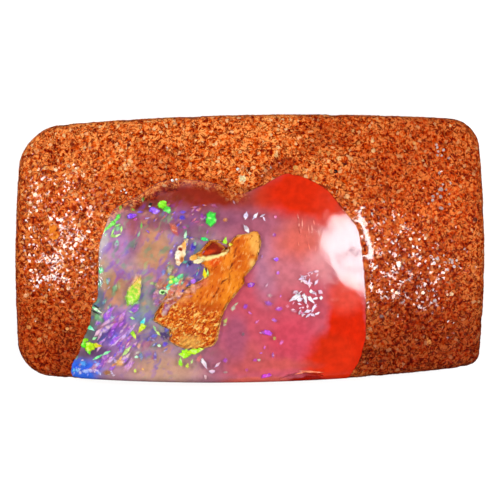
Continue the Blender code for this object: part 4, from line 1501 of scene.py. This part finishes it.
# %% Make the host rock's finish
# Stain zones. Those at the lower corners, (-12.5, -6.0), (12.0, -6.5), (7.9, -7.4) and (-11.9, -7.0), are
# partly painted shade. The dark one at (0.0, 3.75) is a painted shadow along the opal's upper edge.
ROCK_STAIN_AND_SHADE_ZONES = (
    (11.5, 4.0, 5.5, 6.0, 0, 0.6, 0.8, 0xD8A890),
    (10.0, -1.0, 4.0, 3.5, 0, 0.6, 0.8, 0xD8AC9C),
    (-12.5, -6.0, 4.5, 5.0, 20, 0.6, 0.9, 0xC08C70),
    (12.0, -6.5, 5.5, 4.0, -10, 0.6, 0.9, 0xA46C60),
    (-13.0, 1.0, 2.5, 5.0, 0, 0.6, 0.8, 0xE0C8B0),
    (0.0, 3.75, 1.3, 0.35, -8, 0.6, 0.7, 0x80382C),
    (-7.0, 3.7, 4.4, 1.3, 6, 0.6, 0.9, 0xDCBCA4),
    (2.2, 4.8, 1.6, 0.7, 12, 0.6, 0.8, 0xC88468),
    (5.0, 7.3, 1.8, 1.0, 0, 0.6, 0.8, 0xD0A080),
    (-2.6, 4.3, 1.0, 0.5, 0, 0.6, 0.7, 0xD0A080),
    (7.9, -7.4, 1.3, 1.4, 0, 0.6, 0.8, 0x9C6C60),
    (-11.9, -7.0, 0.9, 1.7, -20, 0.6, 0.8, 0xA87868),
    (-5.5, 5.5, 1.6, 1.0, 0, 0.6, 0.7, 0xD8A890),
    (12.8, 3.0, 1.6, 2.1, 0, 0.6, 0.7, 0xF8D8C8),
    (10.6, 2.2, 2.0, 1.2, 0, 0.6, 0.6, 0xFCD8C8),
    (12.4, -3.9, 1.2, 1.3, 0, 0.6, 0.6, 0xD8AC9C),
    (-11.8, 2.9, 1.0, 0.8, 0, 0.6, 0.6, 0xF8D8C0),
    (9.8, -4.7, 0.9, 1.0, 0, 0.6, 0.6, 0xD0A494),
)
# Where more of the sand's grains have a glassy, polished top; white stands for the full shine.
SHINE_ZONES = (
    (-11.3, 0.9, 1.1, 1.2, 0, 0.5, 0.6, 0xFFFFFF),
    (-12.7, -1.3, 1.0, 1.1, 0, 0.5, 0.8, 0xFFFFFF),
    (9.9, -1.6, 2.3, 1.9, 0, 0.5, 0.18, 0xFFFFFF),
)


def rock_finish():
    material, tree, out, place = new_finish("host rock")
    wandering = wander(tree, place, 2.0, 2.5)
    shine = lay_zones(tree, wandering, grey(0.0), SHINE_ZONES)
    grain = use(tree, sand, {"Place": place, "Shine": shine})
    colour = lay_zones(tree, wandering, grain["Color"], ROCK_STAIN_AND_SHADE_ZONES, through=grain["Color"])
    # Painted shade in the pressed pits, crack and dents, darkest where they were pressed deepest.
    hollow = reckon(tree, "MULTIPLY", kept(tree, "pit"), 0.75)
    colour = blend(tree, hollow, colour, paint(0x3A0C04))
    polish = kept(tree, "polish")
    even = add(tree, "NewGeometry", {}).outputs["Normal"]
    facets = add(tree, "Mix", {0: polish, 4: grain["Normal"], 5: even}, data_type="VECTOR").outputs[1]
    smoother = between(tree, polish, 0.0, 1.0, 1.0, 0.4)
    feed(tree, out, {
        "Base Color": seen_through(tree, colour, (0.61, 0.55, 0.50, 1.0)),
        "Roughness": reckon(tree, "MULTIPLY", grain["Roughness"], smoother),
        "IOR": 1.16, "Specular IOR Level": 0.15, "Coat Roughness": 0.08,
        "Coat Weight": reckon(tree, "MAXIMUM", polish, grain["Gloss"]),
        "Normal": bumped(tree, grain["Height"], 0.3, 0.02, Normal=facets)})
    return material


rock_material = rock_finish()
print(rock_material.name, "with", len(ROCK_STAIN_AND_SHADE_ZONES), "zones")

# %% [markdown]
# ## The finish of the cloudy heart
#
# The heart carries the opal's body colours: violet and brown haze at the left, rose in the middle,
# fire red above and below at the right, and a blue corner. They are soft zones again, on a place
# that is warped twice so that no border is a clean oval. The left part is mottled by six stretched
# noises, each in its own colour. Along the thin edge the sand behind the opal shows through, stained
# red-brown and darkened there as a painted shadow under the rock's edge. A few zones are painted
# light: a pale strip as a painted highlight on the left edge, a pale pink fringe of the softbox's
# reflection, and painted shade that deepens the red in the broken chip. Opal scatters light inside,
# so the heart also gives off a little of its own colour. Real subsurface scattering would take far
# longer to render under the clear body.

# %% List the heart's zones
HEART_COLOUR_AND_PAINTED_LIGHT_ZONES = (
    (-6.35, -2.7, 5.0, 6.0, 0, 0.5, 1.0, 0xB494B0),
    (1.67, -4.6, 4.2, 5.0, 0, 0.4, 1.0, 0xD0586A),
    (0.4, 1.5, 2.0, 1.6, 0, 0.6, 0.8, 0xB06078),
    (1.15, -1.4, 0.9, 1.8, 0, 0.6, 0.9, 0xBA7C98),
    (2.6, -0.8, 1.3, 2.0, 0, 0.5, 0.9, 0xD27884),
    (-6.1, -0.25, 1.2, 2.0, 15, 0.5, 0.95, 0xC99275),
    (-8.6, -2.4, 1.0, 1.2, 0, 0.6, 0.9, 0xBC8664),
    (-9.55, -3.4, 0.45, 1.0, 0, 0.6, 0.8, 0x506888),
    (-6.75, -3.5, 0.6, 1.0, 0, 0.6, 0.7, 0x8898A0),
    (-6.0, -2.6, 0.4, 0.9, -10, 0.6, 0.7, 0x9868B8),
    (-7.2, 0.5, 0.45, 1.4, -18, 0.6, 0.7, 0x9A5C98),
    (-8.1, 0.2, 0.5, 0.8, 0, 0.6, 0.8, 0x9C7CD8),
    (-7.6, 1.5, 0.5, 0.8, 0, 0.6, 0.8, 0xA85058),
    (-5.8, -5.8, 1.2, 0.8, 0, 0.6, 0.6, 0xA08890),
    (-8.45, 0.05, 0.7, 1.4, -15, 0.6, 0.8, 0xC489C8),
    # A painted highlight: the pale strip along the opal's left edge, where the left softbox catches it.
    (-9.35, 0.1, 0.35, 2.4, -12, 0.5, 0.8, 0xD0C4CC),
    (-5.4, -7.8, 2.2, 0.9, 0, 0.5, 0.9, 0xCC9E88),
    (-8.4, -5.6, 1.0, 2.4, -35, 0.5, 0.9, 0xBC8CD8),
    (-8.3, -4.6, 0.6, 0.7, 0, 0.6, 0.7, 0x9048D8),
    (-8.9, -5.5, 0.6, 0.6, 0, 0.7, 0.8, 0x5A58E0),
    (-6.8, -4.1, 0.8, 0.9, 0, 0.6, 0.9, 0x7890B8),
    (-9.7, -6.7, 1.0, 0.5, 0, 0.6, 0.8, 0x583868),
    (-10.15, -4.9, 0.42, 1.2, -14, 0.5, 0.9, 0x5C6C60),
    (-9.2, -5.2, 0.5, 0.7, 0, 0.6, 0.8, 0x6A50A0),
    (-9.2, -4.3, 0.4, 0.5, 0, 0.6, 0.7, 0x809098),
    (-9.3, -1.3, 0.5, 1.0, 0, 0.6, 0.7, 0xB49C88),
    (-10.9, -7.0, 0.6, 0.4, 0, 0.6, 0.8, 0x605468),
    (-10.7, -7.9, 1.4, 0.75, 0, 0.4, 1.0, 0x3A70F0),
    (-9.2, -8.1, 0.6, 0.35, 0, 0.6, 0.7, 0xA8808C),
    (-3.3, 1.0, 0.9, 0.5, 0, 0.6, 0.7, 0x886868),
    (-3.4, 2.4, 0.9, 0.4, 0, 0.6, 0.7, 0x8A4044),
    (-9.75, -5.7, 0.42, 0.6, 0, 0.6, 0.8, 0x5C5C70),
    (-6.5, -3.7, 0.5, 0.7, 0, 0.6, 0.6, 0xA0A088),
    (-3.65, -0.9, 1.0, 1.3, 20, 0.6, 0.7, 0x6850B4),
    # The next two dark red-brown zones lie along the thin upper edge. They are partly sand showing through
    # and partly painted shadow under the rock's edge.
    (-2.6, 3.3, 3.3, 0.85, -3, 0.5, 0.95, 0x942400),
    (-5.8, 2.85, 1.9, 0.55, 4, 0.5, 0.9, 0x883420),
    (-1.9, 1.8, 1.6, 0.7, 0, 0.6, 0.7, 0x905070),
    (-5.7, 1.7, 1.6, 0.6, 0, 0.6, 0.8, 0x8E4A68),
    (-3.9, 1.6, 0.9, 0.9, 0, 0.6, 0.7, 0x8A4C88),
    (1.1, 3.3, 0.9, 1.0, 0, 0.6, 0.9, 0xC03818),
    (3.6, 3.55, 2.7, 1.85, -6, 0.36, 1.0, 0xDC2C0C),
    (5.4, 2.75, 1.2, 1.5, -35, 0.45, 1.0, 0xDC3418),
    (3.3, 0.5, 1.5, 1.2, 0, 0.6, 0.85, 0xE46A58),
    # A painted reflection: pale pink at the lower left edge of the right softbox's reflection.
    (4.5, -1.1, 1.0, 0.9, -45, 0.6, 0.6, 0xF8A4A8),
    (6.3, -5.6, 1.35, 3.6, 0, 0.24, 1.0, 0xE02808),
    (5.1, -7.0, 1.8, 1.6, 20, 0.3, 1.0, 0xDE3010),
    (6.15, -3.0, 1.1, 1.1, 0, 0.5, 0.9, 0xE85040),
    (2.6, -5.8, 1.4, 1.4, 0, 0.5, 0.8, 0xDA4A60),
    (1.7, -7.4, 2.2, 0.35, 0, 0.6, 0.8, 0xD8605A),
    (-0.25, -7.0, 1.4, 1.0, 0, 0.5, 0.8, 0xCB5E61),
    (-0.9, -5.6, 0.8, 1.5, 0, 0.5, 0.9, 0xB05A78),
    (-2.2, -7.2, 0.9, 0.9, 0, 0.6, 0.7, 0xA86078),
    (0.7, -8.45, 2.3, 0.22, 2, 0.5, 0.9, 0xE86858),
    # Painted shade: the red opal's own colour, darkened in the broken chip.
    (3.6, -8.36, 1.2, 0.20, 2, 0.3, 1.0, 0x980C00),
)
# Stain with painted shadow: these darken the sand seen through the thin upper edge.
STAIN_AND_SHADOW_ZONES = (
    (-5.7, 3.4, 2.9, 1.3, 0, 0.6, 1.0, 0x984820),
    (-2.8, 3.9, 1.4, 0.7, 0, 0.6, 1.0, 0x9C4C2C),
)
print("zones in the heart:", len(HEART_COLOUR_AND_PAINTED_LIGHT_ZONES), "and in the stained sand:", len(STAIN_AND_SHADOW_ZONES))

# %% Make the heart's finish
# Mottling of the cloudy left part: noise seed, where it starts to show, and its colour.
MOTTLES = (
    (0.0, 0.53, 0x7A48E0), (11.0, 0.57, 0x50A088), (23.0, 0.57, 0xE09878), (37.0, 0.58, 0x4050D0),
    (51.0, 0.58, 0xB84890), (67.0, 0.60, 0x98C890),
)


def mottle(tree, place, colour, amount):
    """Lays the mottling over a colour."""
    drawn = drawn_out(tree, place, -52, (0.8, 1.6, 1.2))
    for seed, start, code in MOTTLES:
        spots = noisy(tree, reckon_vector(tree, "ADD", drawn, (seed, seed, 0.0)), 1.1, 3.0)
        share = reckon(tree, "MULTIPLY", between(tree, spots, start, start + 0.14, 0.0, 0.5), amount)
        colour = blend(tree, share, colour, paint(code))
    return colour


def heart_finish():
    material, tree, out, place = new_finish("opal heart")
    wandering = wander(tree, wander(tree, place, 1.2, 0.6), 0.3, 0.15)
    left = patch(tree, place, -6.3, -2.6, 4.3, 5.6, softness=0.3)
    colour = lay_zones(tree, wandering, paint(0xB06A78), HEART_COLOUR_AND_PAINTED_LIGHT_ZONES)
    colour = mottle(tree, wandering, colour, left)
    warmer = seen_through(tree, colour, (1.0, 1.0, 0.86, 1.0))
    colour = blend(tree, left, colour, warmer)
    stain_and_shadow = lay_zones(tree, wandering, paint(0xE0CCBC), STAIN_AND_SHADOW_ZONES)
    stain_and_shadow = blend(tree, kept(tree, "inner"), grey(1.0), stain_and_shadow)
    grain = use(tree, sand, {"Place": place, "Grain": 0.18})
    colour = blend(tree, kept(tree, "rim"), colour, seen_through(tree, grain["Color"], stain_and_shadow))
    cloud = between(tree, noisy(tree, place, 2.2, 5.0), 0.25, 0.75, 0.85, 1.12)
    colour = seen_through(tree, colour, cloud)
    feed(tree, out, {
        "Base Color": seen_through(tree, colour, grey(0.40)),
        "Emission Color": colour, "Emission Strength": 0.27,
        "Roughness": 0.6, "Specular IOR Level": 0.0})
    return material


heart_material = heart_finish()
print(heart_material.name, "with", len(MOTTLES), "mottles")

# %% [markdown]
# ## The finish of the fire
#
# A flake throws a band of colour that shifts along it, so the two colours kept in its points are
# mixed along its length, with some noise, and flickered by a finer one. The play of colour is light
# sent back by layers, brighter than paint could be, so most of it is given off rather than lit. The
# cover kept with the colour makes the rim of a soft flake clear.

# %% Make the fire's finish
def fire_finish():
    material, tree, out, place = new_finish("opal fire")
    tint = add(tree, "Attribute", {}, attribute_name="tint").outputs
    flicker = noisy(tree, place, 4.0, 3.0)
    share = reckon(tree, "MULTIPLY_ADD", flicker, 4.0, reckon(tree, "ADD", kept(tree, "along"), -2.0))
    colour = blend(tree, between(tree, share, -0.6, 0.6), tint["Color"], kept(tree, "tint_end", "Color"))
    colour = blend(tree, between(tree, flicker, 0.54, 0.66, 0.0, 0.3), colour, paint(0xFFF4D0))
    colour = seen_through(tree, colour, between(tree, flicker, 0.25, 0.6, 0.65, 1.08))
    # The white and lilac flakes take this finish too, so their painted glints glow as well.
    feed(tree, out, {
        "Base Color": seen_through(tree, colour, grey(0.12)),
        "Emission Color": colour, "Emission Strength": 0.85, "Alpha": tint["Alpha"],
        "Roughness": 0.4, "Specular IOR Level": 0.1})
    return material


fire_material = fire_finish()
print(fire_material.name, "for", len(flakes), "flakes")

# %% [markdown]
# ## The finish of the clear opal
#
# The clear body is plain transmission with the refraction of opal, and a faint absorption warms what
# lies deep. Handling leaves hairline scratches on a polish as soft as this, drawn by a node group
# that two directions share. They roughen the face, and at the right they also catch the softbox's
# reflection. A shadow ray and a ray of soft light pass the body straight, so that light reaches the
# flakes and the heart. Following those rays through the refraction would leave the inside noisy.

# %% Make the clear opal's finish
def make_hairlines():
    tree, given, result = new_group(
        "hairlines", [("Place", "Vector", ORIGIN), ("Turn", "Vector", ORIGIN)], [("Share", "Float")])
    turned = add(tree, "VectorRotate", {"Vector": given["Place"], "Rotation": given["Turn"]},
                 rotation_type="EULER_XYZ").outputs[0]
    drawn = reckon_vector(tree, "MULTIPLY", turned, (0.35, 7.0, 1.0))
    feed(tree, result, {"Share": winding(tree, noisy(tree, drawn, 1.0, 1.0), 0.0, 0.02)})
    return tree


hairlines = make_hairlines()


def clear_finish():
    material, tree, out, place = new_finish("clear opal")
    along, across = [
        use(tree, hairlines, {"Place": place, "Turn": (0.0, 0.0, math.radians(turn))})["Share"]
        for turn in (-62, 35)]
    drag = noisy(tree, place, 1.3, 4.0)
    lines = reckon(tree, "MULTIPLY", reckon(tree, "MAXIMUM", along, across), between(tree, drag, 0.5, 0.7))
    worn = reckon(tree, "MULTIPLY", lines, patch(tree, place, 6.3, 0.0, 1.7, 2.9))
    feed(tree, out, {
        "Base Color": grey(1.0), "Transmission Weight": 1.0, "IOR": 1.45,
        "Roughness": reckon(tree, "MULTIPLY_ADD", lines, 0.06, 0.07),
        "Normal": bumped(tree, reckon(tree, "MULTIPLY_ADD", worn, 1.5, drag), 0.4, 0.02)})
    ray = add(tree, "LightPath", {}).outputs
    light = reckon(tree, "MAXIMUM", ray["Is Shadow Ray"], ray["Is Diffuse Ray"])
    glass = tree.nodes["Principled BSDF"].outputs[0]
    straight = add(tree, "BsdfTransparent", {}).outputs[0]
    deep = add(tree, "VolumeAbsorption", {"Color": (1.0, 0.80, 0.72, 1.0), "Density": 300.0}).outputs[0]
    feed(tree, tree.nodes["Material Output"].inputs, {
        "Surface": add(tree, "MixShader", {0: light, 1: glass, 2: straight}).outputs[0],
        "Volume": deep})
    return material


clear_material = clear_finish()
print(clear_material.name, "with hairlines in two directions")

# %% [markdown]
# ## The finish of the shard
#
# The shard's plates are streaked along the way it split, with pale threads and dark fissures. Its
# grainy end is a tangle of strands, dark in between. The attributes kept in its mesh bring in the
# pale edges, which are a painted highlight along its rim, the cream rim of the lip, the hollow, whose
# dark red is partly painted shade, and the crack, darkened as painted shade. A pattern alone would
# not know of these.

# %% Make the shard's finish
SHARD_COLOUR_AND_HIGHLIGHT_ZONES = (
    (-0.9, -3.2, 0.9, 1.6, -35, 0.6, 0.6, 0xF89420),
    (-2.4, -2.6, 0.8, 0.9, 0, 0.6, 0.5, 0xE4701C),
    (-4.5, -3.2, 1.0, 0.6, 35, 0.5, 0.8, 0xEC9060),
    (-3.9, -2.5, 1.1, 0.22, 32, 0.6, 0.7, 0xC88078),
    (-2.9, -2.1, 0.35, 0.30, 0, 0.6, 0.8, 0xE07060),
    (-2.5, -3.9, 1.1, 0.35, 10, 0.6, 0.7, 0xC04008),
    (-3.5, -3.9, 0.9, 0.50, 0, 0.6, 0.75, 0xB84408),
    # A painted highlight: the next two pale zones lie along the shard's right rim.
    (0.5, 0.35, 0.50, 0.75, 10, 0.4, 0.8, 0xFAB868),
    (0.30, -0.95, 0.35, 0.30, -15, 0.5, 0.8, 0xFFD08C),
    (-2.15, -0.85, 0.40, 0.28, 30, 0.5, 0.9, 0xE84C08),
    (-3.3, -1.0, 0.22, 0.16, 0, 0.5, 0.9, 0xE06018),
)
TIP_ZONES = ((-3.72, -6.05, 0.7, 0.45, 0, 0.6, 0.5, 0xF8C878),)
# The hollow's colours are the rock's own red with painted shade, darkest at its upper left.
HOLLOW_COLOUR_AND_SHADE_ZONES = (
    (-2.55, -0.22, 0.42, 0.17, 12, 0.5, 0.9, 0xD84010),
    (-1.80, 0.22, 0.40, 0.14, -35, 0.5, 0.8, 0xC87838),
    (-2.10, -0.30, 0.35, 0.12, 20, 0.5, 0.6, 0x601004),
)


def split_rock(tree, wandering, plates, lines):
    """The colour of the shard's smooth plates."""
    colour = blend(tree, between(tree, plates, 0.35, 0.65), paint(0xD45C0C), paint(0xF48C28))
    colour = lay_zones(tree, wandering, colour, SHARD_COLOUR_AND_HIGHLIGHT_ZONES)
    colour = blend(tree, between(tree, lines, 0.55, 0.7, 0.0, 0.5), colour, paint(0xFFC080))
    return blend(tree, between(tree, lines, 0.45, 0.32, 0.0, 0.8), colour, paint(0xA83404))


def crumbly_rock(tree, place, wandering, strand):
    """The colour of the shard's grainy end."""
    grain = use(tree, sand, {
        "Place": place, "Grain": 0.16, "Tilt": 0.1, "Dark": paint(0xB03404), "Middle": paint(0xF07410),
        "Light": paint(0xFFA040)})
    colour = blend(tree, between(tree, strand, 0.37, 0.49), paint(0xB03000), grain["Color"])
    colour = blend(tree, between(tree, strand, 0.54, 0.66), colour, paint(0xFFD08C))
    return lay_zones(tree, wandering, colour, TIP_ZONES)


def shard_finish():
    material, tree, out, place = new_finish("orange rock")
    wandering = wander(tree, place, 0.6, 0.5)
    drawn = drawn_out(tree, place, -65, (0.8, 1.7, 1.0))
    plates, lines = noisy(tree, drawn, 1.2, 5.0), noisy(tree, drawn, 3.5, 4.0)
    spun = wander(tree, drawn_out(tree, place, -38, (0.65, 1.0, 1.0)), 0.5, 0.4)
    strand = noisy(tree, spun, 5.0, 3.0, 0.8)
    grainy = kept(tree, "grainy")
    colour = blend(tree, grainy, split_rock(tree, wandering, plates, lines),
                   crumbly_rock(tree, place, wandering, strand))
    deep = lay_zones(tree, wandering, paint(0x8A1E04), HOLLOW_COLOUR_AND_SHADE_ZONES)
    # Pale edges are a painted highlight, the hollow's dark red is partly painted shade, "pit" paints shade
    # into the crack, and the cream rim is the rock's own colour.
    for name, tint in (("edge", paint(0xFFC890)), ("cream", paint(0xFFF0C0)), ("hollow", deep),
                       ("pit", paint(0x7A2004))):
        colour = blend(tree, kept(tree, name), colour, tint)
    height = add(tree, "Mix", {0: grainy, 2: reckon(tree, "ADD", plates, lines), 3: strand}).outputs[0]
    feed(tree, out, {
        "Base Color": seen_through(tree, colour, (0.53, 0.53, 0.34, 1.0)),
        "Roughness": 0.6, "Specular IOR Level": 0.05,
        "Normal": bumped(tree, height, 0.7, 0.08)})
    return material


shard_material = shard_finish()
print(shard_material.name, "with", len(SHARD_COLOUR_AND_HIGHLIGHT_ZONES), "zones")

# %% [markdown]
# ## The finishes of the sliver and the quartz
#
# The sliver is cream with brown spots, laid as small zones and loosened by noise. Every grain of
# quartz keeps a tint of its own in its points, so one finish serves them all, clouded a little.

# %% Make the finishes of the sliver and the quartz
SLIVER_ZONES = (
    (-4.55, -0.40, 0.16, 0.40, 8, 0.5, 0.9, 0xFFF6E0),
    (-4.12, 0.20, 0.16, 0.32, 10, 0.5, 0.9, 0xF4A840),
    (-4.22, -0.75, 0.16, 0.32, 0, 0.5, 0.8, 0xE8A850),
    (-4.34, -0.06, 0.15, 0.13, 10, 0.4, 1.0, 0x8C2804),
    (-4.26, -0.72, 0.12, 0.15, 0, 0.5, 0.9, 0xA84C10),
    (-4.52, -1.10, 0.20, 0.16, 0, 0.5, 0.8, 0xF8D0A8),
)


def sliver_finish():
    material, tree, out, place = new_finish("cream rock")
    colour = lay_zones(tree, wander(tree, place, 0.25, 0.25), paint(0xF8E0B8), SLIVER_ZONES)
    spots = between(tree, noisy(tree, place, 3.0, 3.0), 0.5, 0.7, 0.0, 0.6)
    colour = blend(tree, spots, colour, paint(0xD89060))
    feed(tree, out, {
        "Base Color": seen_through(tree, colour, grey(0.6)),
        "Roughness": 0.5, "Specular IOR Level": 0.05})
    return material


def quartz_finish():
    material, tree, out, place = new_finish("quartz grain")
    cloud = between(tree, noisy(tree, place, 7.0, 3.0), 0.3, 0.7, 0.3, 0.6)
    feed(tree, out, {
        "Base Color": seen_through(tree, kept(tree, "tint", "Color"), cloud), "Roughness": 0.2})
    return material


sliver_material, quartz_material = sliver_finish(), quartz_finish()
print("finishes:", sliver_material.name, "and", quartz_material.name)

# %% [markdown]
# ## Putting the stone together
#
# Every piece rides on the one body there is and is given its finish. Four of the pieces take the
# place of the plain solids. The flakes, the heart and the grains have no solid of their own, and lie
# within the two large ones.

# %% Give the pieces their finishes and places
PIECES = (
    (host_rock, rock_material, "host_rock", ("host_rock",)),
    (quartz, quartz_material, "host_rock", ()),
    (opal, clear_material, "precious_opal", ("opal",)),
    (heart, heart_material, "precious_opal", ()),
    (fire, fire_material, "precious_opal", ()),
    (shard, shard_material, "orange_rock", ("rock_shard",)),
    (ochre, shard_material, "orange_rock", ()),
    (sliver, sliver_material, "cream_rock", ("rock_sliver",)),
)
for piece, material, slot, nodes in PIECES:
    piece.data.materials.clear()
    piece.data.materials.append(material)
    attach(piece, "root")
    if nodes:
        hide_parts(*nodes)
discard(blank, opal_blank, pocket, filling, template)
print("finished pieces:", [piece.name for piece, *_ in PIECES])

# %% [markdown]
# ## Lamps
#
# One softbox stands over the stone's right and one over its left. Their mirror images fall on the
# opal's right edge, as a white patch, and on the glassy grains at both ends. The right one is turned
# so that the patch leans with the opal's edge. A broad, low light from behind, which nothing mirrors,
# keeps the back of the face a little brighter than the front. A lamp's energy is worked out from how
# bright it should look, so that its size can be changed on its own.

# %% Set up the lamps
LAMP_DISTANCE = 140.0


def softbox(name, shape, lean_x, lean_y, width, depth, radiance, turn=0.0, mirrored=True):
    """A soft lamp that leans from straight overhead by two angles, sized in degrees as seen."""
    lamp = bpy.data.lights.new(name, "AREA")
    lamp.shape = shape
    lamp.size = 2 * LAMP_DISTANCE * math.tan(math.radians(width / 2)) * MM
    lamp.size_y = 2 * LAMP_DISTANCE * math.tan(math.radians(depth / 2)) * MM
    lamp.energy = radiance * math.pi * lamp.size * lamp.size_y
    made = bpy.data.objects.new(name, lamp)
    towards = Vector((math.tan(math.radians(lean_x)), math.tan(math.radians(lean_y)), 1.0)).normalized()
    made.location = (towards * LAMP_DISTANCE + Vector((0.0, 0.0, THICKNESS))) * MM
    up = (Vector((0.0, 1.0, 0.0)) - towards * towards.y).normalized()
    up = Matrix.Rotation(math.radians(turn), 3, towards) @ up
    made.rotation_euler = Matrix((up.cross(towards), up, towards)).transposed().to_euler()
    made.visible_camera = False
    made.visible_glossy = mirrored
    bpy.context.scene.collection.objects.link(made)
    return made


lamps = [
    softbox("right softbox", "ELLIPSE", 29.8, -4, 20, 34, 18, turn=29),
    softbox("left softbox", "RECTANGLE", -41.5, 7, 14, 33, 25),
    softbox("back light", "RECTANGLE", 0, 50, 70, 36, 1.6, mirrored=False),
]
print("lamps:", [lamp.name for lamp in lamps])

# %% [markdown]
# ## Floor, sky and camera
#
# The stone lies on a pale floor under a pale sky that is darker overhead, which keeps the polish from
# looking milky. The floor gives off light, so that it stays white with hardly a shadow, as on a light
# table, and neither the polish nor the clear opal mirrors it. The camera looks straight down through
# a long lens, from far enough away that the sides of the stone hardly show.

# %% Stage the stone
LENS, SENSOR = 200.0, 36.0
CAMERA_PLACE = (0.064, -0.128, 183.2)
bpy.ops.mesh.primitive_plane_add(size=4)
floor = bpy.context.object
floor.name = "floor"
floor_material, floor_tree, floor_inputs, _ = new_finish("pale floor")
feed(floor_tree, floor_inputs, {
    "Base Color": grey(0.35), "Roughness": 0.8, "Emission Color": grey(1.0), "Emission Strength": 0.6})
floor.data.materials.append(floor_material)
floor.visible_glossy = floor.visible_transmission = False
world = bpy.data.worlds.new("pale sky")
world.use_nodes = True
sky = world.node_tree
level = add(sky, "SeparateXYZ", {0: add(sky, "TexCoord", {}).outputs["Generated"]}).outputs["Z"]
overhead, horizon = between(sky, level, 0.2, 0.9, 0.25, 0.04), between(sky, level, -0.15, 0.15)
feed(sky, sky.nodes["Background"].inputs, {
    "Color": grey(1.0), "Strength": reckon(sky, "MULTIPLY", overhead, horizon)})
bpy.context.scene.world = world
lens = bpy.data.cameras.new("long lens")
lens.lens, lens.sensor_width = LENS, SENSOR
lens.clip_start, lens.clip_end = 0.01, 10.0
camera = bpy.data.objects.new("camera", lens)
camera.location = [v * MM for v in CAMERA_PLACE]
bpy.context.scene.collection.objects.link(camera)
bpy.context.scene.camera = camera
bpy.context.scene.view_settings.view_transform = "Standard"
print("camera at", [round(v / MM, 2) for v in camera.location], "mm")
